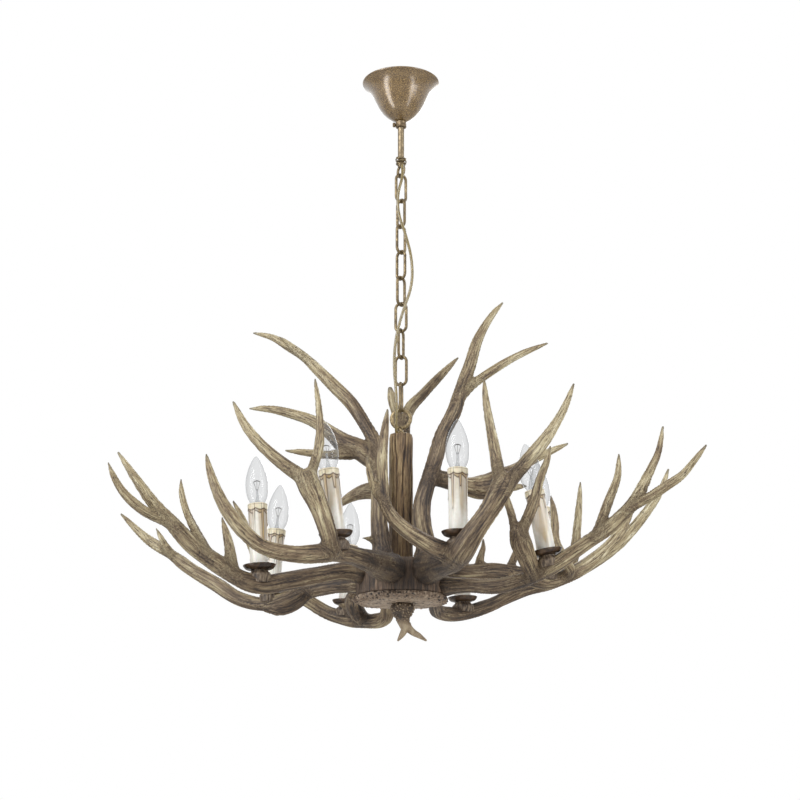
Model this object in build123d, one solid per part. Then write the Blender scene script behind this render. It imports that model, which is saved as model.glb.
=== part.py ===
from build123d import *
import math
import os

# Antler chandelier with eight candle lamps, hung on a chain below a ceiling canopy.
# Millimetres, +Z up. The origin is the centre of the ceiling bracket's top face, which lies on
# the ceiling, so the whole object is below z = 0. -Y is the side that faces the viewer.

# ---------------------------------------------------------------- ceiling fixing
bracket_screw_spacing = 90.0
bracket_screw_hole = 5.0
bracket_ear_length = 24.0
bracket_width = 24.0
bracket_sheet = 2.0
bracket_drop = 16.0
canopy_diameter = 134.0
canopy_height = 74.0
canopy_lip_height = 7.0
canopy_shoulder_step = 3.5
canopy_neck_diameter = 38.0
canopy_neck_height = 7.0
canopy_wall = 1.6
canopy_flats = 32
stem_diameter = 11.0
stem_bore = 7.0
stem_length = 131.0
stem_nut_across_flats = 17.0
stem_nut_height = 6.0
collar_diameter = 19.0
collar_height = 11.0
grub_screw_diameter = 4.0
grub_head_diameter = 8.0
grub_head_length = 5.0
slide_gap = 0.3  # radial gap round the stem of what slides on it

# ---------------------------------------------------------------- chain
link_wire = 5.0
link_length = 57.0
link_width = 24.0
link_gap = 0.3  # between the wires of two links that hang in each other
loop_wire = 5.0
loop_diameter = 26.0
loop_socket_diameter = 14.0
loop_socket_height = 12.0
# How far each link is turned about the chain, in degrees from facing the viewer
link_turns = [30, 130, 45, 135, 50, 160, 65, 162, 81]
wire_flats = 6
crown_steps = 5

# ---------------------------------------------------------------- centre column and hub
ring_wire = 7.0
ring_diameter = 38.0
ring_flange_diameter = 22.0
ring_flange_height = 3.0
ring_shank = 13.0  # from the ring's centreline down to the column's top
column_diameter = 38.0
column_length = 215.0
groove_depth = 3.0
ridge_angles = [8, 36, 75, 103, 148, 176, 221, 252, 281, 322]
cable_bore = 7.0
cable_bore_offset = 12.5
rod_diameter = 10.0
rod_clearance = 0.6
hub_diameter = 145.0
hub_height = 54.0
hub_edge = 4.0
pocket_diameter = 96.0
pocket_depth = 46.0
plate_diameter = 156.0
plate_height = 12.0
plate_scallops = 16
scallop_depth = 4.0
nut_across_flats = 17.0
nut_height = 8.0
terminal_length = 42.0
terminal_width = 17.0
terminal_height = 15.0
finial_top_diameter = 36.0
finial_waist_diameter = 20.0
finial_cup_height = 24.0
finial_length = 60.0
finial_prong_spread = 15.0

# ---------------------------------------------------------------- candles
seat_height = 16.0  # from the top of the antler to the drip tray
seat_top_diameter = 25.0
seat_bottom_diameter = 33.0
tray_diameter = 48.0
tray_foot_diameter = 27.0
tray_height = 9.0
tray_knee_diameter = 41.0
tray_knee_height = 2.2
tray_wall = 1.6
tray_floor = 2.0
sleeve_clearance = 0.5  # radial, round the sleeve's foot in its tray
sleeve_diameter = 29.0
sleeve_wall = 1.5
sleeve_length = 95.0
sleeve_collar = 2.0
sleeve_collar_height = 62.0
holder_clearance = 0.5
holder_length = 93.0
socket_diameter = 14.0
socket_depth = 24.0
bulb_cap_diameter = 13.4
bulb_cap_length = 23.5
bulb_diameter = 35.0
bulb_glass_length = 69.0
bulb_neck_diameter = 19.0
bulb_tip_diameter = 4.0
candle_flats = 12
seat_gap = 0.3

# ---------------------------------------------------------------- supply cord
cord_diameter = 5.0
cord_points = [
    (8.0, -13.0, -160.0),
    (11.0, -19.0, -182.0),
    (1.0, -22.0, -214.0),
    (-5.0, -23.0, -252.0),
    (9.0, -22.0, -294.0),
    (18.0, -17.0, -336.0),
    (16.0, -18.0, -382.0),
    (-1.0, -22.0, -428.0),
    (-15.0, -20.0, -474.0),
    (-18.0, -18.0, -522.0),
    (-15.0, -21.0, -566.0),
    (-11.0, -25.0, -598.0),
]

# ---------------------------------------------------------------- antler screws
antler_screw_diameter = 5.0
antler_screw_head = 9.0
antler_screw_head_height = 3.5
antler_screw_bite = 16.0
antler_inset = 8.0  # how far a butt is let into the hub before the hub's face trims it
beam_flats = 8
tine_flats = 6
screw_flats = 6
cord_flats = 6

# ---------------------------------------------------------------- places worked out from the sizes
stem_bottom = -bracket_drop - stem_length
loop_radius = (loop_diameter - loop_wire) / 2
loop_centre = stem_bottom - loop_socket_height + loop_wire / 2 - loop_radius
link_pitch = link_length - 2 * link_wire - link_gap
first_link_crown = loop_centre - loop_radius + loop_wire / 2 + link_wire / 2 + link_gap
first_link = first_link_crown - (link_length - link_wire) / 2
link_count = len(link_turns)
last_link = first_link - link_pitch * (link_count - 1)
ring_radius = (ring_diameter - ring_wire) / 2
ring_centre = last_link - (link_length - link_wire) / 2 + link_wire / 2 + ring_wire / 2 + link_gap - ring_radius
column_top = ring_centre - ring_radius - ring_shank
hub_top = column_top - column_length
hub_bottom = hub_top - hub_height
hub_middle = (hub_top + hub_bottom) / 2
plate_bottom = hub_bottom - plate_height
hub_radius = hub_diameter / 2
collar_top = -canopy_height

# Each antler grows from its butt on the hub. A side antler's butt is given by its bearing round the
# hub, in degrees from +X, its height over the hub's middle and its thickness. An upright's butt is given
# by its place on the hub's top. The other stations of a beam or tine are x, y, height over the hub's
# middle, and thickness. The first station of a tine lies inside its beam.
side_antlers = {
    "antler_left_front": {
        "butt": (205, 5, 24),
        "beam": [
            (-136, -60, -5, 24), (-180, -80, -16, 27), (-215, -96, -22, 28), (-250, -106, -11, 26),
            (-285, -115, 10, 24), (-320, -125, 33, 23), (-355, -135, 70, 20), (-380, -140, 95, 18),
            (-408, -145, 130, 13), (-441, -150, 175, 4),
        ],
        "tines": [
            [
                (-350, -133, 64, 16), (-399, -160, 85, 14), (-427, -175, 110, 11),
                (-441, -185, 133, 8), (-448, -190, 149, 3),
            ],
            [
                (-302, -120, 22, 17), (-322, -115, 58, 13), (-335, -110, 86, 11), (-346, -100, 120, 8),
                (-349, -90, 145, 3),
            ],
            [(-264, -109, -4, 20), (-271, -105, 37, 12), (-276, -95, 62, 8), (-283, -85, 85, 3)],
        ],
        "seat": 2,
    },
    "antler_left_back": {
        "butt": (160, -8, 21),
        "beam": [
            (-141, 55, -12, 21), (-190, 78, -20, 22), (-228, 96, -20, 22), (-268, 110, -15, 21),
            (-309, 125, 11, 21), (-358, 145, 42, 19), (-394, 160, 71, 18), (-436, 175, 99, 15),
            (-490, 195, 149, 4),
        ],
        "tines": [
            [(-152, 60, -14, 18), (-175, 52, -30, 27), (-205, 45, -41, 26), (-236, 44, -40, 11)],
            [(-392, 158, 70, 14), (-408, 150, 93, 10), (-420, 145, 115, 3)],
        ],
        "seat": 2,
    },
    "antler_front_left": {
        "butt": (257, 8, 30),
        "beam": [
            (-45, -140, 5, 24), (-90, -228, -2, 24), (-113, -265, -5, 27), (-154, -277, -7, 22),
            (-206, -285, 7, 20), (-228, -290, 27, 19), (-245, -290, 49, 17), (-262, -290, 77, 15),
            (-276, -285, 109, 11), (-288, -280, 140, 4),
        ],
        "tines": [
            [
                (-112, -262, -4, 24), (-115, -283, 25, 23), (-123, -285, 62, 24), (-135, -286, 92, 30),
                (-141, -286, 110, 29),
            ],
            [
                (-143, -286, 104, 20), (-169, -285, 124, 19), (-192, -285, 145, 16),
                (-227, -280, 186, 12), (-250, -275, 222, 4),
            ],
            [
                (-136, -286, 98, 20), (-127, -285, 125, 15), (-120, -285, 154, 13),
                (-121, -280, 196, 10), (-129, -270, 258, 4),
            ],
        ],
        "seat": 1,
    },
    "antler_front_right": {
        "butt": (300, 8, 30),
        "beam": [
            (60, -130, 2, 34), (86, -210, -6, 40), (99, -233, -2, 36), (124, -250, 24, 26),
            (146, -260, 63, 27),
            (164, -265, 92, 32), (170, -265, 108, 31),
        ],
        "tines": [
            [
                (84, -208, -2, 32), (39, -225, 16, 22), (14, -236, 30, 20), (-10, -245, 49, 18),
                (-24, -250, 72, 19), (-27, -250, 107, 15), (-29, -250, 146, 13), (-26, -245, 182, 10),
                (-20, -240, 220, 4),
            ],
            [(-22, -250, 74, 13), (-36, -251, 87, 12), (-44, -255, 109, 10), (-51, -255, 142, 4)],
            [
                (163, -265, 98, 20), (147, -265, 125, 16), (141, -265, 160, 14), (134, -265, 196, 12),
                (129, -262, 232, 9), (126, -260, 261, 4),
            ],
            [
                (168, -265, 102, 20), (194, -268, 137, 18), (214, -272, 159, 15), (230, -276, 182, 12),
                (245, -280, 210, 10), (259, -285, 246, 4),
            ],
        ],
        "seat": 1,
    },
    "antler_right_front": {
        "butt": (340, -14, 21),
        "beam": [
            (156, -60, -19, 20), (202, -80, -6, 21), (226, -96, 3, 22), (287, -110, 39, 21),
            (335, -120, 73, 21),
            (367, -130, 108, 18), (383, -135, 139, 13), (402, -138, 179, 9), (411, -140, 219, 4),
        ],
        "tines": [
            [
                (352, -126, 90, 16), (394, -145, 119, 14), (411, -155, 129, 13), (434, -165, 144, 11),
                (448, -175, 161, 8), (469, -185, 178, 4),
            ],
            [(306, -114, 54, 16), (330, -105, 113, 12), (343, -98, 148, 10), (347, -90, 186, 4)],
            [(206, -82, -5, 20), (192, -118, 23, 19), (184, -133, 44, 20), (180, -142, 62, 20)],
            [(180, -141, 57, 14), (173, -142, 81, 12), (164, -145, 101, 9), (161, -145, 123, 3)],
            [
                (183, -141, 57, 16), (204, -150, 97, 15), (215, -155, 132, 12), (226, -160, 161, 9),
                (232, -162, 182, 4),
            ],
        ],
        "seat": 2,
    },
    "antler_right_back": {
        "butt": (10, 12, 24),
        "beam": [
            (146, 45, 18, 24), (200, 70, 18, 23), (241, 96, 15, 22), (293, 115, 38, 21),
            (339, 135, 73, 18),
            (376, 150, 110, 14), (404, 160, 156, 4),
        ],
        "tines": [
            [(128, 37, 18, 16), (130, 36, 41, 12), (135, 34, 58, 8), (135, 32, 73, 3)],
            [
                (266, 104, 24, 18), (260, 66, 50, 15), (255, 58, 80, 15), (257, 56, 110, 13),
                (254, 52, 130, 9), (249, 50, 150, 3),
            ],
        ],
        "seat": 2,
    },
    "antler_back_right": {
        "butt": (62, -14, 22),
        "beam": [
            (68, 180, -26, 22), (108, 229, -19, 22), (151, 245, -6, 22), (200, 250, 14, 22),
            (271, 250, 35, 21),
            (335, 245, 68, 21), (398, 240, 119, 19), (434, 235, 160, 15), (460, 230, 198, 11),
            (476, 225, 236, 4),
        ],
        "tines": [
            [
                (284, 250, 42, 20), (306, 248, 83, 17), (312, 245, 133, 13), (317, 242, 179, 10),
                (320, 240, 215, 4),
            ],
        ],
        "seat": 1,
    },
    "antler_back_left": {
        "butt": (102, -15, 22),
        "beam": [
            (-24, 130, -38, 22), (-50, 180, -40, 22), (-88, 231, -34, 22), (-115, 241, -24, 22),
            (-177, 250, 12, 22),
            (-222, 250, 32, 21), (-258, 248, 67, 20), (-276, 246, 102, 17), (-284, 243, 152, 12),
            (-299, 240, 181, 4),
        ],
        "tines": [
            [(-62, 200, -38, 20), (-76, 178, -24, 28), (-82, 145, -10, 25), (-80, 114, -4, 16)],
            [(-78, 172, -20, 18), (-98, 178, -14, 10), (-112, 176, -12, 3)],
        ],
        "seat": 2,
    },
}
upright_antlers = {
    "antler_upright_left": {
        "butt": (-30, -40, 32),
        "beam": [
            (-34, -40, 73, 26), (-37, -38, 123, 25), (-42, -32, 200, 25), (-44, -30, 219, 22),
            (-58, -25, 246, 20),
            (-84, -10, 289, 20), (-111, 5, 321, 20), (-138, 20, 352, 18), (-164, 30, 382, 16),
            (-191, 40, 405, 14),
            (-219, 50, 424, 10), (-253, 60, 436, 4),
        ],
        "tines": [
            [(-160, 29, 378, 13), (-188, 25, 404, 9), (-205, 18, 416, 3)],
            [
                (-41, -33, 186, 26), (-67, -25, 209, 36), (-92, -20, 218, 33), (-113, -15, 235, 22),
                (-145, -5, 258, 16), (-177, 5, 271, 14), (-217, 15, 284, 10), (-253, 25, 292, 4),
            ],
            [(-80, -22, 207, 24), (-116, -30, 201, 14), (-146, -38, 202, 11), (-187, -50, 203, 4)],
            [(-34, -40, 54, 14), (-51, -46, 59, 8), (-63, -50, 60, 3)],
        ],
    },
    "antler_upright_right": {
        "butt": (42, -35, 36),
        "beam": [
            (31, -35, 92, 28), (31, -32, 124, 26), (36, -30, 156, 26), (46, -25, 195, 24),
            (59, -20, 235, 22),
            (84, -12, 280, 22), (96, -5, 317, 21), (112, 2, 353, 20), (131, 12, 409, 16),
            (142, 18, 433, 13),
            (158, 24, 460, 9), (174, 30, 480, 4),
        ],
        "tines": [
            [
                (102, -2, 326, 15), (122, 2, 332, 14), (149, 10, 355, 12), (175, 18, 375, 10),
                (209, 28, 395, 8), (248, 38, 410, 4),
            ],
            [
                (38, -26, 162, 26), (65, -10, 160, 36), (112, 10, 155, 37), (142, 25, 163, 29),
                (190, 45, 204, 19), (222, 55, 218, 15), (253, 63, 232, 10), (282, 70, 244, 4),
            ],
        ],
    },
    "antler_upright_rear": {
        "butt": (5, 45, 30),
        "beam": [
            (3, 50, 142, 26), (2, 53, 250, 25), (12, 58, 302, 18), (37, 66, 335, 14),
            (63, 74, 367, 11), (96, 82, 399, 4),
        ],
        "tines": [
            [(3, 54, 262, 20), (-8, 52, 294, 14), (-21, 48, 332, 4)],
            [
                (3, 50, 140, 23), (-22, 62, 161, 22), (-50, 75, 171, 20), (-86, 88, 179, 17),
                (-121, 100, 190, 12), (-156, 112, 207, 4),
            ],
        ],
    },
}
# Which antler carries each candle, and how far the candle leans towards +X, in degrees
candles = [
    ("antler_left_front", -3),
    ("antler_left_back", 4),
    ("antler_front_left", -7),
    ("antler_back_left", 2),
    ("antler_front_right", 0),
    ("antler_back_right", -2),
    ("antler_right_front", -10),
    ("antler_right_back", -4),
]


# ---------------------------------------------------------------- shared shapes
def disc(diameter, low, high, x=0.0, y=0.0):
    """An upright cylinder between two heights."""
    return Pos(x, y, low) * Cylinder(diameter / 2, high - low, align=(Align.CENTER, Align.CENTER, Align.MIN))


def hexagon(across_flats, low, high):
    """A hexagonal prism between two heights."""
    face = Pos(0, 0, low) * RegularPolygon(across_flats / 2, 6, major_radius=False)
    return extrude(face, amount=high - low)


def panel(points):
    """A flat face with straight edges through the points."""
    return Face(Wire.make_polygon(points, close=True))


def ring(centre, across, side, radius, flats):
    """The corners of a regular ring round a centre, in the plane of two directions."""
    turns = [2 * math.pi * step / flats for step in range(flats)]
    return [centre + across * (radius * math.cos(turn)) + side * (radius * math.sin(turn)) for turn in turns]


def skin(rings, endless=False, warped=False):
    """A solid with flat walls between rings of corners. Warped walls are split into triangles."""
    steps = list(zip(rings, rings[1:]))
    if endless:
        steps.append((rings[-1], rings[0]))
        faces = []
    else:
        faces = [panel(rings[0][::-1]), panel(rings[-1])]
    for low, high in steps:
        for k in range(len(low)):
            after = (k + 1) % len(low)
            if warped:
                faces.append(panel([low[k], low[after], high[after]]))
                faces.append(panel([low[k], high[after], high[k]]))
            else:
                faces.append(panel([low[k], low[after], high[after], high[k]]))
    return Solid(Shell(faces))


def turned(outline, flats):
    """A flat-sided turning: rings of (radius, height), from the foot upwards, joined by straight walls."""
    x, y = Vector(1, 0, 0), Vector(0, 1, 0)
    return skin([ring(Vector(0, 0, height), x, y, radius, flats) for radius, height in outline])


def star(outer, inner, angles, height):
    """The corners of ridges at the angles, in degrees, with a groove halfway to the next ridge."""
    corners = []
    for angle, after in zip(angles, angles[1:] + [angles[0] + 360]):
        for radius, degrees in ((outer, angle), (inner, (angle + after) / 2)):
            turn = math.radians(degrees)
            corners.append(Vector(radius * math.cos(turn), radius * math.sin(turn), height))
    return corners


def along(stations, flats):
    """A limb through flat-sided rings. Each station is x, y, z and thickness."""
    centres = [Vector(*station[:3]) for station in stations]
    last = len(centres) - 1
    across = None
    rings = []
    for i, centre in enumerate(centres):
        run = (centres[min(i + 1, last)] - centres[max(i - 1, 0)]).normalized()
        if across is None:
            across = Vector(0, 0, 1) if abs(run.Z) < 0.8 else Vector(1, 0, 0)
        across = (across - run * across.dot(run)).normalized()
        rings.append(ring(centre, across, run.cross(across), stations[i][3] / 2, flats))
    return skin(rings, warped=True)


def wire_oval(length, width, wire):
    """A welded oval link, or a ring when length equals width, standing in the XZ plane."""
    crown = (width - wire) / 2
    leg = (length - width) / 2
    y = Vector(0, 1, 0)
    rings = []
    for end, start in ((1, 0), (-1, math.pi)):
        for step in range(crown_steps + 1):
            turn = start + math.pi * step / crown_steps
            out = Vector(math.cos(turn), 0, math.sin(turn))
            if leg > 0 or step < crown_steps:
                rings.append(ring(out * crown + Vector(0, 0, end * leg), y, out, wire / 2, wire_flats))
    return skin(rings, endless=True)


# ---------------------------------------------------------------- ceiling fixing
def ceiling_bracket():
    half = bracket_screw_spacing / 2 + bracket_ear_length / 2
    ear = bracket_screw_spacing / 2 - bracket_ear_length / 2
    s = bracket_sheet
    outline = [
        (-half, 0), (-ear, 0), (-ear, s - bracket_drop), (ear, s - bracket_drop), (ear, 0), (half, 0),
        (half, -s), (ear + s, -s), (ear + s, -bracket_drop), (-ear - s, -bracket_drop), (-ear - s, -s),
        (-half, -s),
    ]
    side = make_face(Polyline(*[(x, 0, z) for x, z in outline], close=True))
    bar = extrude(side, amount=bracket_width / 2, both=True)
    bar -= disc(stem_diameter, -bracket_drop - s, 0)
    for x in (-bracket_screw_spacing / 2, bracket_screw_spacing / 2):
        bar -= disc(bracket_screw_hole, -2 * s, s, x)
    return bar


def stem():
    """The threaded hanging tube, from above the bracket down to the top loop."""
    tube = disc(stem_diameter, stem_bottom, bracket_sheet - bracket_drop + stem_nut_height)
    tube -= disc(stem_bore, stem_bottom, 0)
    return tube


def stem_nut():
    low = bracket_sheet - bracket_drop
    return hexagon(stem_nut_across_flats, low, low + stem_nut_height) - disc(stem_diameter, low, 0)


def canopy():
    rim = canopy_diameter / 2
    shoulder = rim - canopy_shoulder_step
    neck = canopy_neck_diameter / 2
    waist = canopy_height - canopy_neck_height
    w = canopy_wall
    outer = [
        (rim, 0), (rim, -canopy_lip_height), (shoulder, -canopy_lip_height - 2),
        (shoulder * 0.95, -waist * 0.34), (shoulder * 0.81, -waist * 0.62),
        (shoulder * 0.57, -waist * 0.86),
        (neck, -waist), (neck, -canopy_height),
    ]
    hollow = [(r - w, z + w) for r, z in outer[1:]]
    bell = turned(outer[::-1], canopy_flats) - turned([*hollow[::-1], (rim - w, 0)], canopy_flats)
    return bell - disc(stem_diameter + 2 * slide_gap, -canopy_height, 0)


def canopy_collar():
    low = collar_top - collar_height
    ring = disc(collar_diameter, low, collar_top) - disc(stem_diameter + 2 * slide_gap, low, collar_top)
    middle = low + collar_height / 2
    hole = Pos(-collar_diameter / 2, 0, middle) * Rot(0, 90, 0) * Cylinder(grub_screw_diameter / 2, collar_diameter)
    return ring - hole


def grub_screw():
    """The thumb screw through the collar, on the viewer's left."""
    middle = collar_top - collar_height / 2
    inner_end = -stem_diameter / 2 - slide_gap
    outer_end = -collar_diameter / 2
    shank = Cylinder(grub_screw_diameter / 2, inner_end - outer_end, align=(Align.CENTER, Align.CENTER, Align.MIN))
    head = Cylinder(grub_head_diameter / 2, grub_head_length, align=(Align.CENTER, Align.CENTER, Align.MAX))
    return Pos(outer_end, 0, middle) * Rot(0, 90, 0) * (shank + head)


def top_loop():
    """The eye screwed onto the stem's end. It stands across the first link."""
    ring = wire_oval(loop_diameter, loop_diameter, loop_wire)
    ring = Pos(0, 0, loop_centre) * Rot(0, 0, link_turns[0] - 90) * ring
    return ring + disc(loop_socket_diameter, stem_bottom - loop_socket_height, stem_bottom)


def chain_link(number):
    oval = wire_oval(link_length, link_width, link_wire)
    height = first_link - link_pitch * number
    return Pos(0, 0, height) * Rot(0, 0, link_turns[number]) * oval


# ---------------------------------------------------------------- column and hub
def column_ring():
    """The eye that the last link holds, on a flange that sits on the column."""
    ring = wire_oval(ring_diameter, ring_diameter, ring_wire)
    ring = Pos(0, 0, ring_centre) * Rot(0, 0, link_turns[-1] - 90) * ring
    flange = disc(ring_flange_diameter, column_top, column_top + ring_flange_height)
    notch_top = column_top + ring_flange_height
    flange -= disc(cable_bore + 1.5, column_top, notch_top, -cable_bore_offset * 0.6, -cable_bore_offset * 0.8)
    shank = disc(rod_diameter, column_top, ring_centre - ring_radius)
    return ring + flange + shank


def column():
    radius = column_diameter / 2
    post = skin([star(radius, radius - groove_depth, ridge_angles, height) for height in (hub_top, column_top)])
    post -= disc(rod_diameter + 2 * rod_clearance, hub_top, column_top)
    post -= disc(cable_bore, hub_top, column_top, -cable_bore_offset * 0.6, -cable_bore_offset * 0.8)
    return post


def column_rod():
    """The tie rod from the ring's flange down to the finial."""
    return disc(rod_diameter, plate_bottom - finial_cup_height * 0.6, column_top)


def hub():
    body = disc(hub_diameter, hub_bottom, hub_top)
    body = chamfer(body.edges().filter_by(GeomType.CIRCLE).group_by(Axis.Z)[-1], hub_edge)
    body -= disc(rod_diameter + 2 * rod_clearance, hub_bottom, hub_top)
    body -= disc(pocket_diameter, hub_bottom, hub_bottom + pocket_depth)
    body -= disc(cable_bore, hub_bottom, hub_top, -cable_bore_offset * 0.6, -cable_bore_offset * 0.8)
    return body


def terminal_block():
    """The connector block on the hub plate, inside the hub's pocket."""
    block = Box(terminal_length, terminal_width, terminal_height, align=(Align.CENTER, Align.MIN, Align.MIN))
    return Pos(0, rod_diameter, hub_bottom) * block


def hub_plate():
    """The pearled coronet under the hub, with a scalloped rim."""
    rim = plate_diameter / 2
    angles = [360 * i / plate_scallops for i in range(plate_scallops)]
    rings = []
    for height, inset in ((plate_bottom, rim * 0.16), (plate_bottom + plate_height * 0.4, 0), (hub_bottom, 1)):
        rings.append(star(rim - inset, rim - inset - scallop_depth, angles, height))
    return skin(rings, warped=True) - disc(rod_diameter + 2 * rod_clearance, plate_bottom, hub_bottom)


def hub_nut():
    """The nut in the hub's pocket that clamps hub and column between rod and plate."""
    return hexagon(nut_across_flats, hub_bottom, hub_bottom + nut_height) - disc(rod_diameter + 0.1, hub_bottom, hub_top)


def finial():
    """A small forked burr screwed onto the rod's end below the plate."""
    top = finial_top_diameter / 2
    waist = finial_waist_diameter / 2
    crotch = plate_bottom - finial_cup_height - (finial_length - finial_cup_height) * 0.5
    cup = turned([
        (waist, plate_bottom - finial_cup_height), (top * 0.9, plate_bottom - 9),
        (top, plate_bottom - 4),
        (top * 0.9, plate_bottom),
    ], candle_flats)
    neck = (0, 0, plate_bottom - finial_cup_height + 6, finial_waist_diameter)
    fork = (0, 0, crotch + 4, finial_waist_diameter * 0.95)
    body = cup + along([neck, fork, (0, 0, crotch, finial_waist_diameter * 0.8)], beam_flats)
    low = plate_bottom - finial_length
    for side, reach in ((-1, 0.55), (1, 1.0)):
        x = side * finial_prong_spread
        body += along([
            (side * 2, 0, crotch + 8, 12), (x * reach * 0.45, 0, crotch - 5, 9),
            (x * reach * 0.8, 0, low + 7, 6), (x * reach * 1.4, 0, low, 3),
        ], tine_flats)
    return body - disc(rod_diameter, plate_bottom - finial_cup_height * 0.6, plate_bottom)


# ---------------------------------------------------------------- antlers
def raised(stations):
    """Stations given over the hub's middle, at their height in the object."""
    return [(x, y, z + hub_middle, girth) for x, y, z, girth in stations]


def side_stations(antler):
    """The beam's stations with its butt on the hub's side, let in by the inset."""
    bearing, height, girth = antler["butt"]
    turn = math.radians(bearing)
    butt = [
        (radius * math.cos(turn), radius * math.sin(turn), height, width)
        for radius, width in ((hub_radius - antler_inset, girth), (hub_radius + 3, girth * 1.15), (hub_radius + 14, girth))
    ]
    return butt + antler["beam"]


def upright_stations(antler):
    """The beam's stations with its butt on the hub's top, let in by the inset."""
    x, y, girth = antler["butt"]
    top = hub_height / 2
    return [(x, y, top - antler_inset, girth), (x, y, top + 5, girth * 1.1)] + antler["beam"]


def antler_solid(beam, tines):
    body = along(raised(beam), beam_flats)
    for tine in tines:
        body += along(raised(tine), tine_flats)
    return body


def screw_places(antler):
    """The screw through the hub's wall into a side antler's butt, as a turned and lifted place."""
    bearing, height, _ = antler["butt"]
    return Pos(0, 0, hub_middle + height) * Rot(0, 0, bearing) * Rot(0, 90, 0)


def antler_screw(antler, gap=0.0):
    """One screw with its head against the pocket's round wall, or with a gap the hole for its shank."""
    start = math.sqrt(pocket_diameter ** 2 - antler_screw_head ** 2) / 2
    end = hub_radius + antler_screw_bite
    radius = antler_screw_diameter / 2 + gap
    shank = turned([(radius, start), (radius, end + gap)], screw_flats)
    if gap:
        return screw_places(antler) * shank
    wide = antler_screw_head / 2
    head = turned([(wide, start - antler_screw_head_height), (wide, start)], screw_flats)
    return screw_places(antler) * (shank + head)


# ---------------------------------------------------------------- candles, built standing on z = 0
def candle_place(carrier, lean):
    """The top of the carrying antler at its seat, leaning as the candle does."""
    x, y, z, girth = side_antlers[carrier]["beam"][side_antlers[carrier]["seat"]]
    return Pos(x, y, z + girth / 2 + hub_middle) * Rot(0, lean, 0)


def candle_seat(carrier, lean):
    """The flared burr that saddles the antler below a drip tray."""
    depth = side_antlers[carrier]["beam"][side_antlers[carrier]["seat"]][3] * 0.42
    low, high = seat_bottom_diameter / 2, seat_top_diameter / 2
    burr = turned([(low * 0.9, -depth), (low, 1), (high, seat_height)], candle_flats)
    return candle_place(carrier, lean) * burr


def drip_tray():
    rim, knee = tray_diameter / 2, tray_knee_diameter / 2
    low, high = seat_height, seat_height + tray_height
    bowl = turned([(tray_foot_diameter / 2, low), (knee, low + tray_knee_height), (rim, high)], candle_flats)
    hollow = turned([
        (sleeve_diameter / 2 + sleeve_clearance, low + tray_floor),
        (knee - tray_wall, low + tray_knee_height + tray_wall), (rim - tray_wall, high),
    ], candle_flats)
    return bowl - hollow


def candle_sleeve():
    low = seat_height + tray_floor
    high = low + sleeve_length
    radius = sleeve_diameter / 2
    collar = low + sleeve_collar_height
    candle = turned([
        (radius, low), (radius, collar - 2), (radius + sleeve_collar, collar), (radius, collar + 4),
        (radius, high),
    ], candle_flats)
    return candle - turned([(radius - sleeve_wall, low), (radius - sleeve_wall, high)], candle_flats)


def lamp_holder():
    low = seat_height + tray_floor
    high = low + holder_length
    radius = sleeve_diameter / 2 - sleeve_wall - holder_clearance
    socket = turned([(socket_diameter / 2, high - socket_depth), (socket_diameter / 2, high)], candle_flats)
    return turned([(radius, low), (radius, high)], candle_flats) - socket


def bulb():
    """A candle bulb: glass flame, neck and screw cap, standing in its socket."""
    top = seat_height + tray_floor + holder_length + seat_gap
    wide = bulb_diameter
    glass = [
        (0, bulb_neck_diameter), (0.13, wide * 0.76), (0.30, wide * 0.98), (0.46, wide * 0.98),
        (0.66, wide * 0.74), (0.84, wide * 0.38), (1.0, bulb_tip_diameter),
    ]
    flame = turned([(girth / 2, top + share * bulb_glass_length) for share, girth in glass], candle_flats)
    cap = turned([(bulb_cap_diameter / 2, top - bulb_cap_length), (bulb_cap_diameter / 2, top)], candle_flats)
    return flame + cap


# ---------------------------------------------------------------- supply cord
def supply_cord():
    """The cord's hanging run from the top loop to the column, as a tube on tangent arcs."""
    points = [Vector(*point) for point in cord_points]
    bore_x, bore_y = -cable_bore_offset * 0.6, -cable_bore_offset * 0.8
    points.append(Vector(bore_x - 1, bore_y - 7, column_top + 13))
    points.append(Vector(bore_x, bore_y, column_top + seat_gap))
    radii = []
    for before, at, after in zip(points, points[1:], points[2:]):
        shorter = min((at - before).length, (after - at).length)
        half_turn = math.radians((at - before).get_angle(after - at)) / 2
        radii.append(0.45 * shorter / math.tan(half_turn))
    print("supply_cord bend radii:", [round(radius) for radius in radii])
    path = FilletPolyline(*points, radius=radii)
    section = Plane(path @ 0, z_dir=path % 0) * RegularPolygon(cord_diameter / 2, cord_flats)
    tube = sweep(section, path=path)
    print("supply_cord volume, and section times length:", round(tube.volume), round(section.area * path.length))
    return tube


# ---------------------------------------------------------------- the assembly
nodes = {
    "ceiling_bracket": ceiling_bracket(),
    "stem_nut": stem_nut(),
    "stem": stem(),
    "top_loop": top_loop(),
    "canopy": canopy(),
    "canopy_collar": canopy_collar(),
    "grub_screw": grub_screw(),
    "column_ring": column_ring(),
    "column": column(),
    "column_rod": column_rod(),
    "terminal_block": terminal_block(),
    "hub_plate": hub_plate(),
    "hub_nut": hub_nut(),
    "finial": finial(),
    "supply_cord": supply_cord(),
}
for number in range(link_count):
    nodes[f"chain_link_{number + 1}"] = chain_link(number)

hub_body = hub()
hub_envelope = disc(hub_diameter, hub_bottom, hub_top)
plate_envelope = disc(plate_diameter + 1, plate_bottom, hub_bottom)
screws = []
for name, antler in side_antlers.items():
    body = antler_solid(side_stations(antler), antler["tines"]) - hub_envelope - plate_envelope
    hole = antler_screw(antler, 0.05)
    nodes[name] = body - hole
    hub_body -= hole
    screws.append(antler_screw(antler))
for name, antler in upright_antlers.items():
    nodes[name] = antler_solid(upright_stations(antler), antler["tines"]) - hub_envelope
nodes["hub"] = hub_body
nodes["antler_screws"] = Compound(children=screws)

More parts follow.
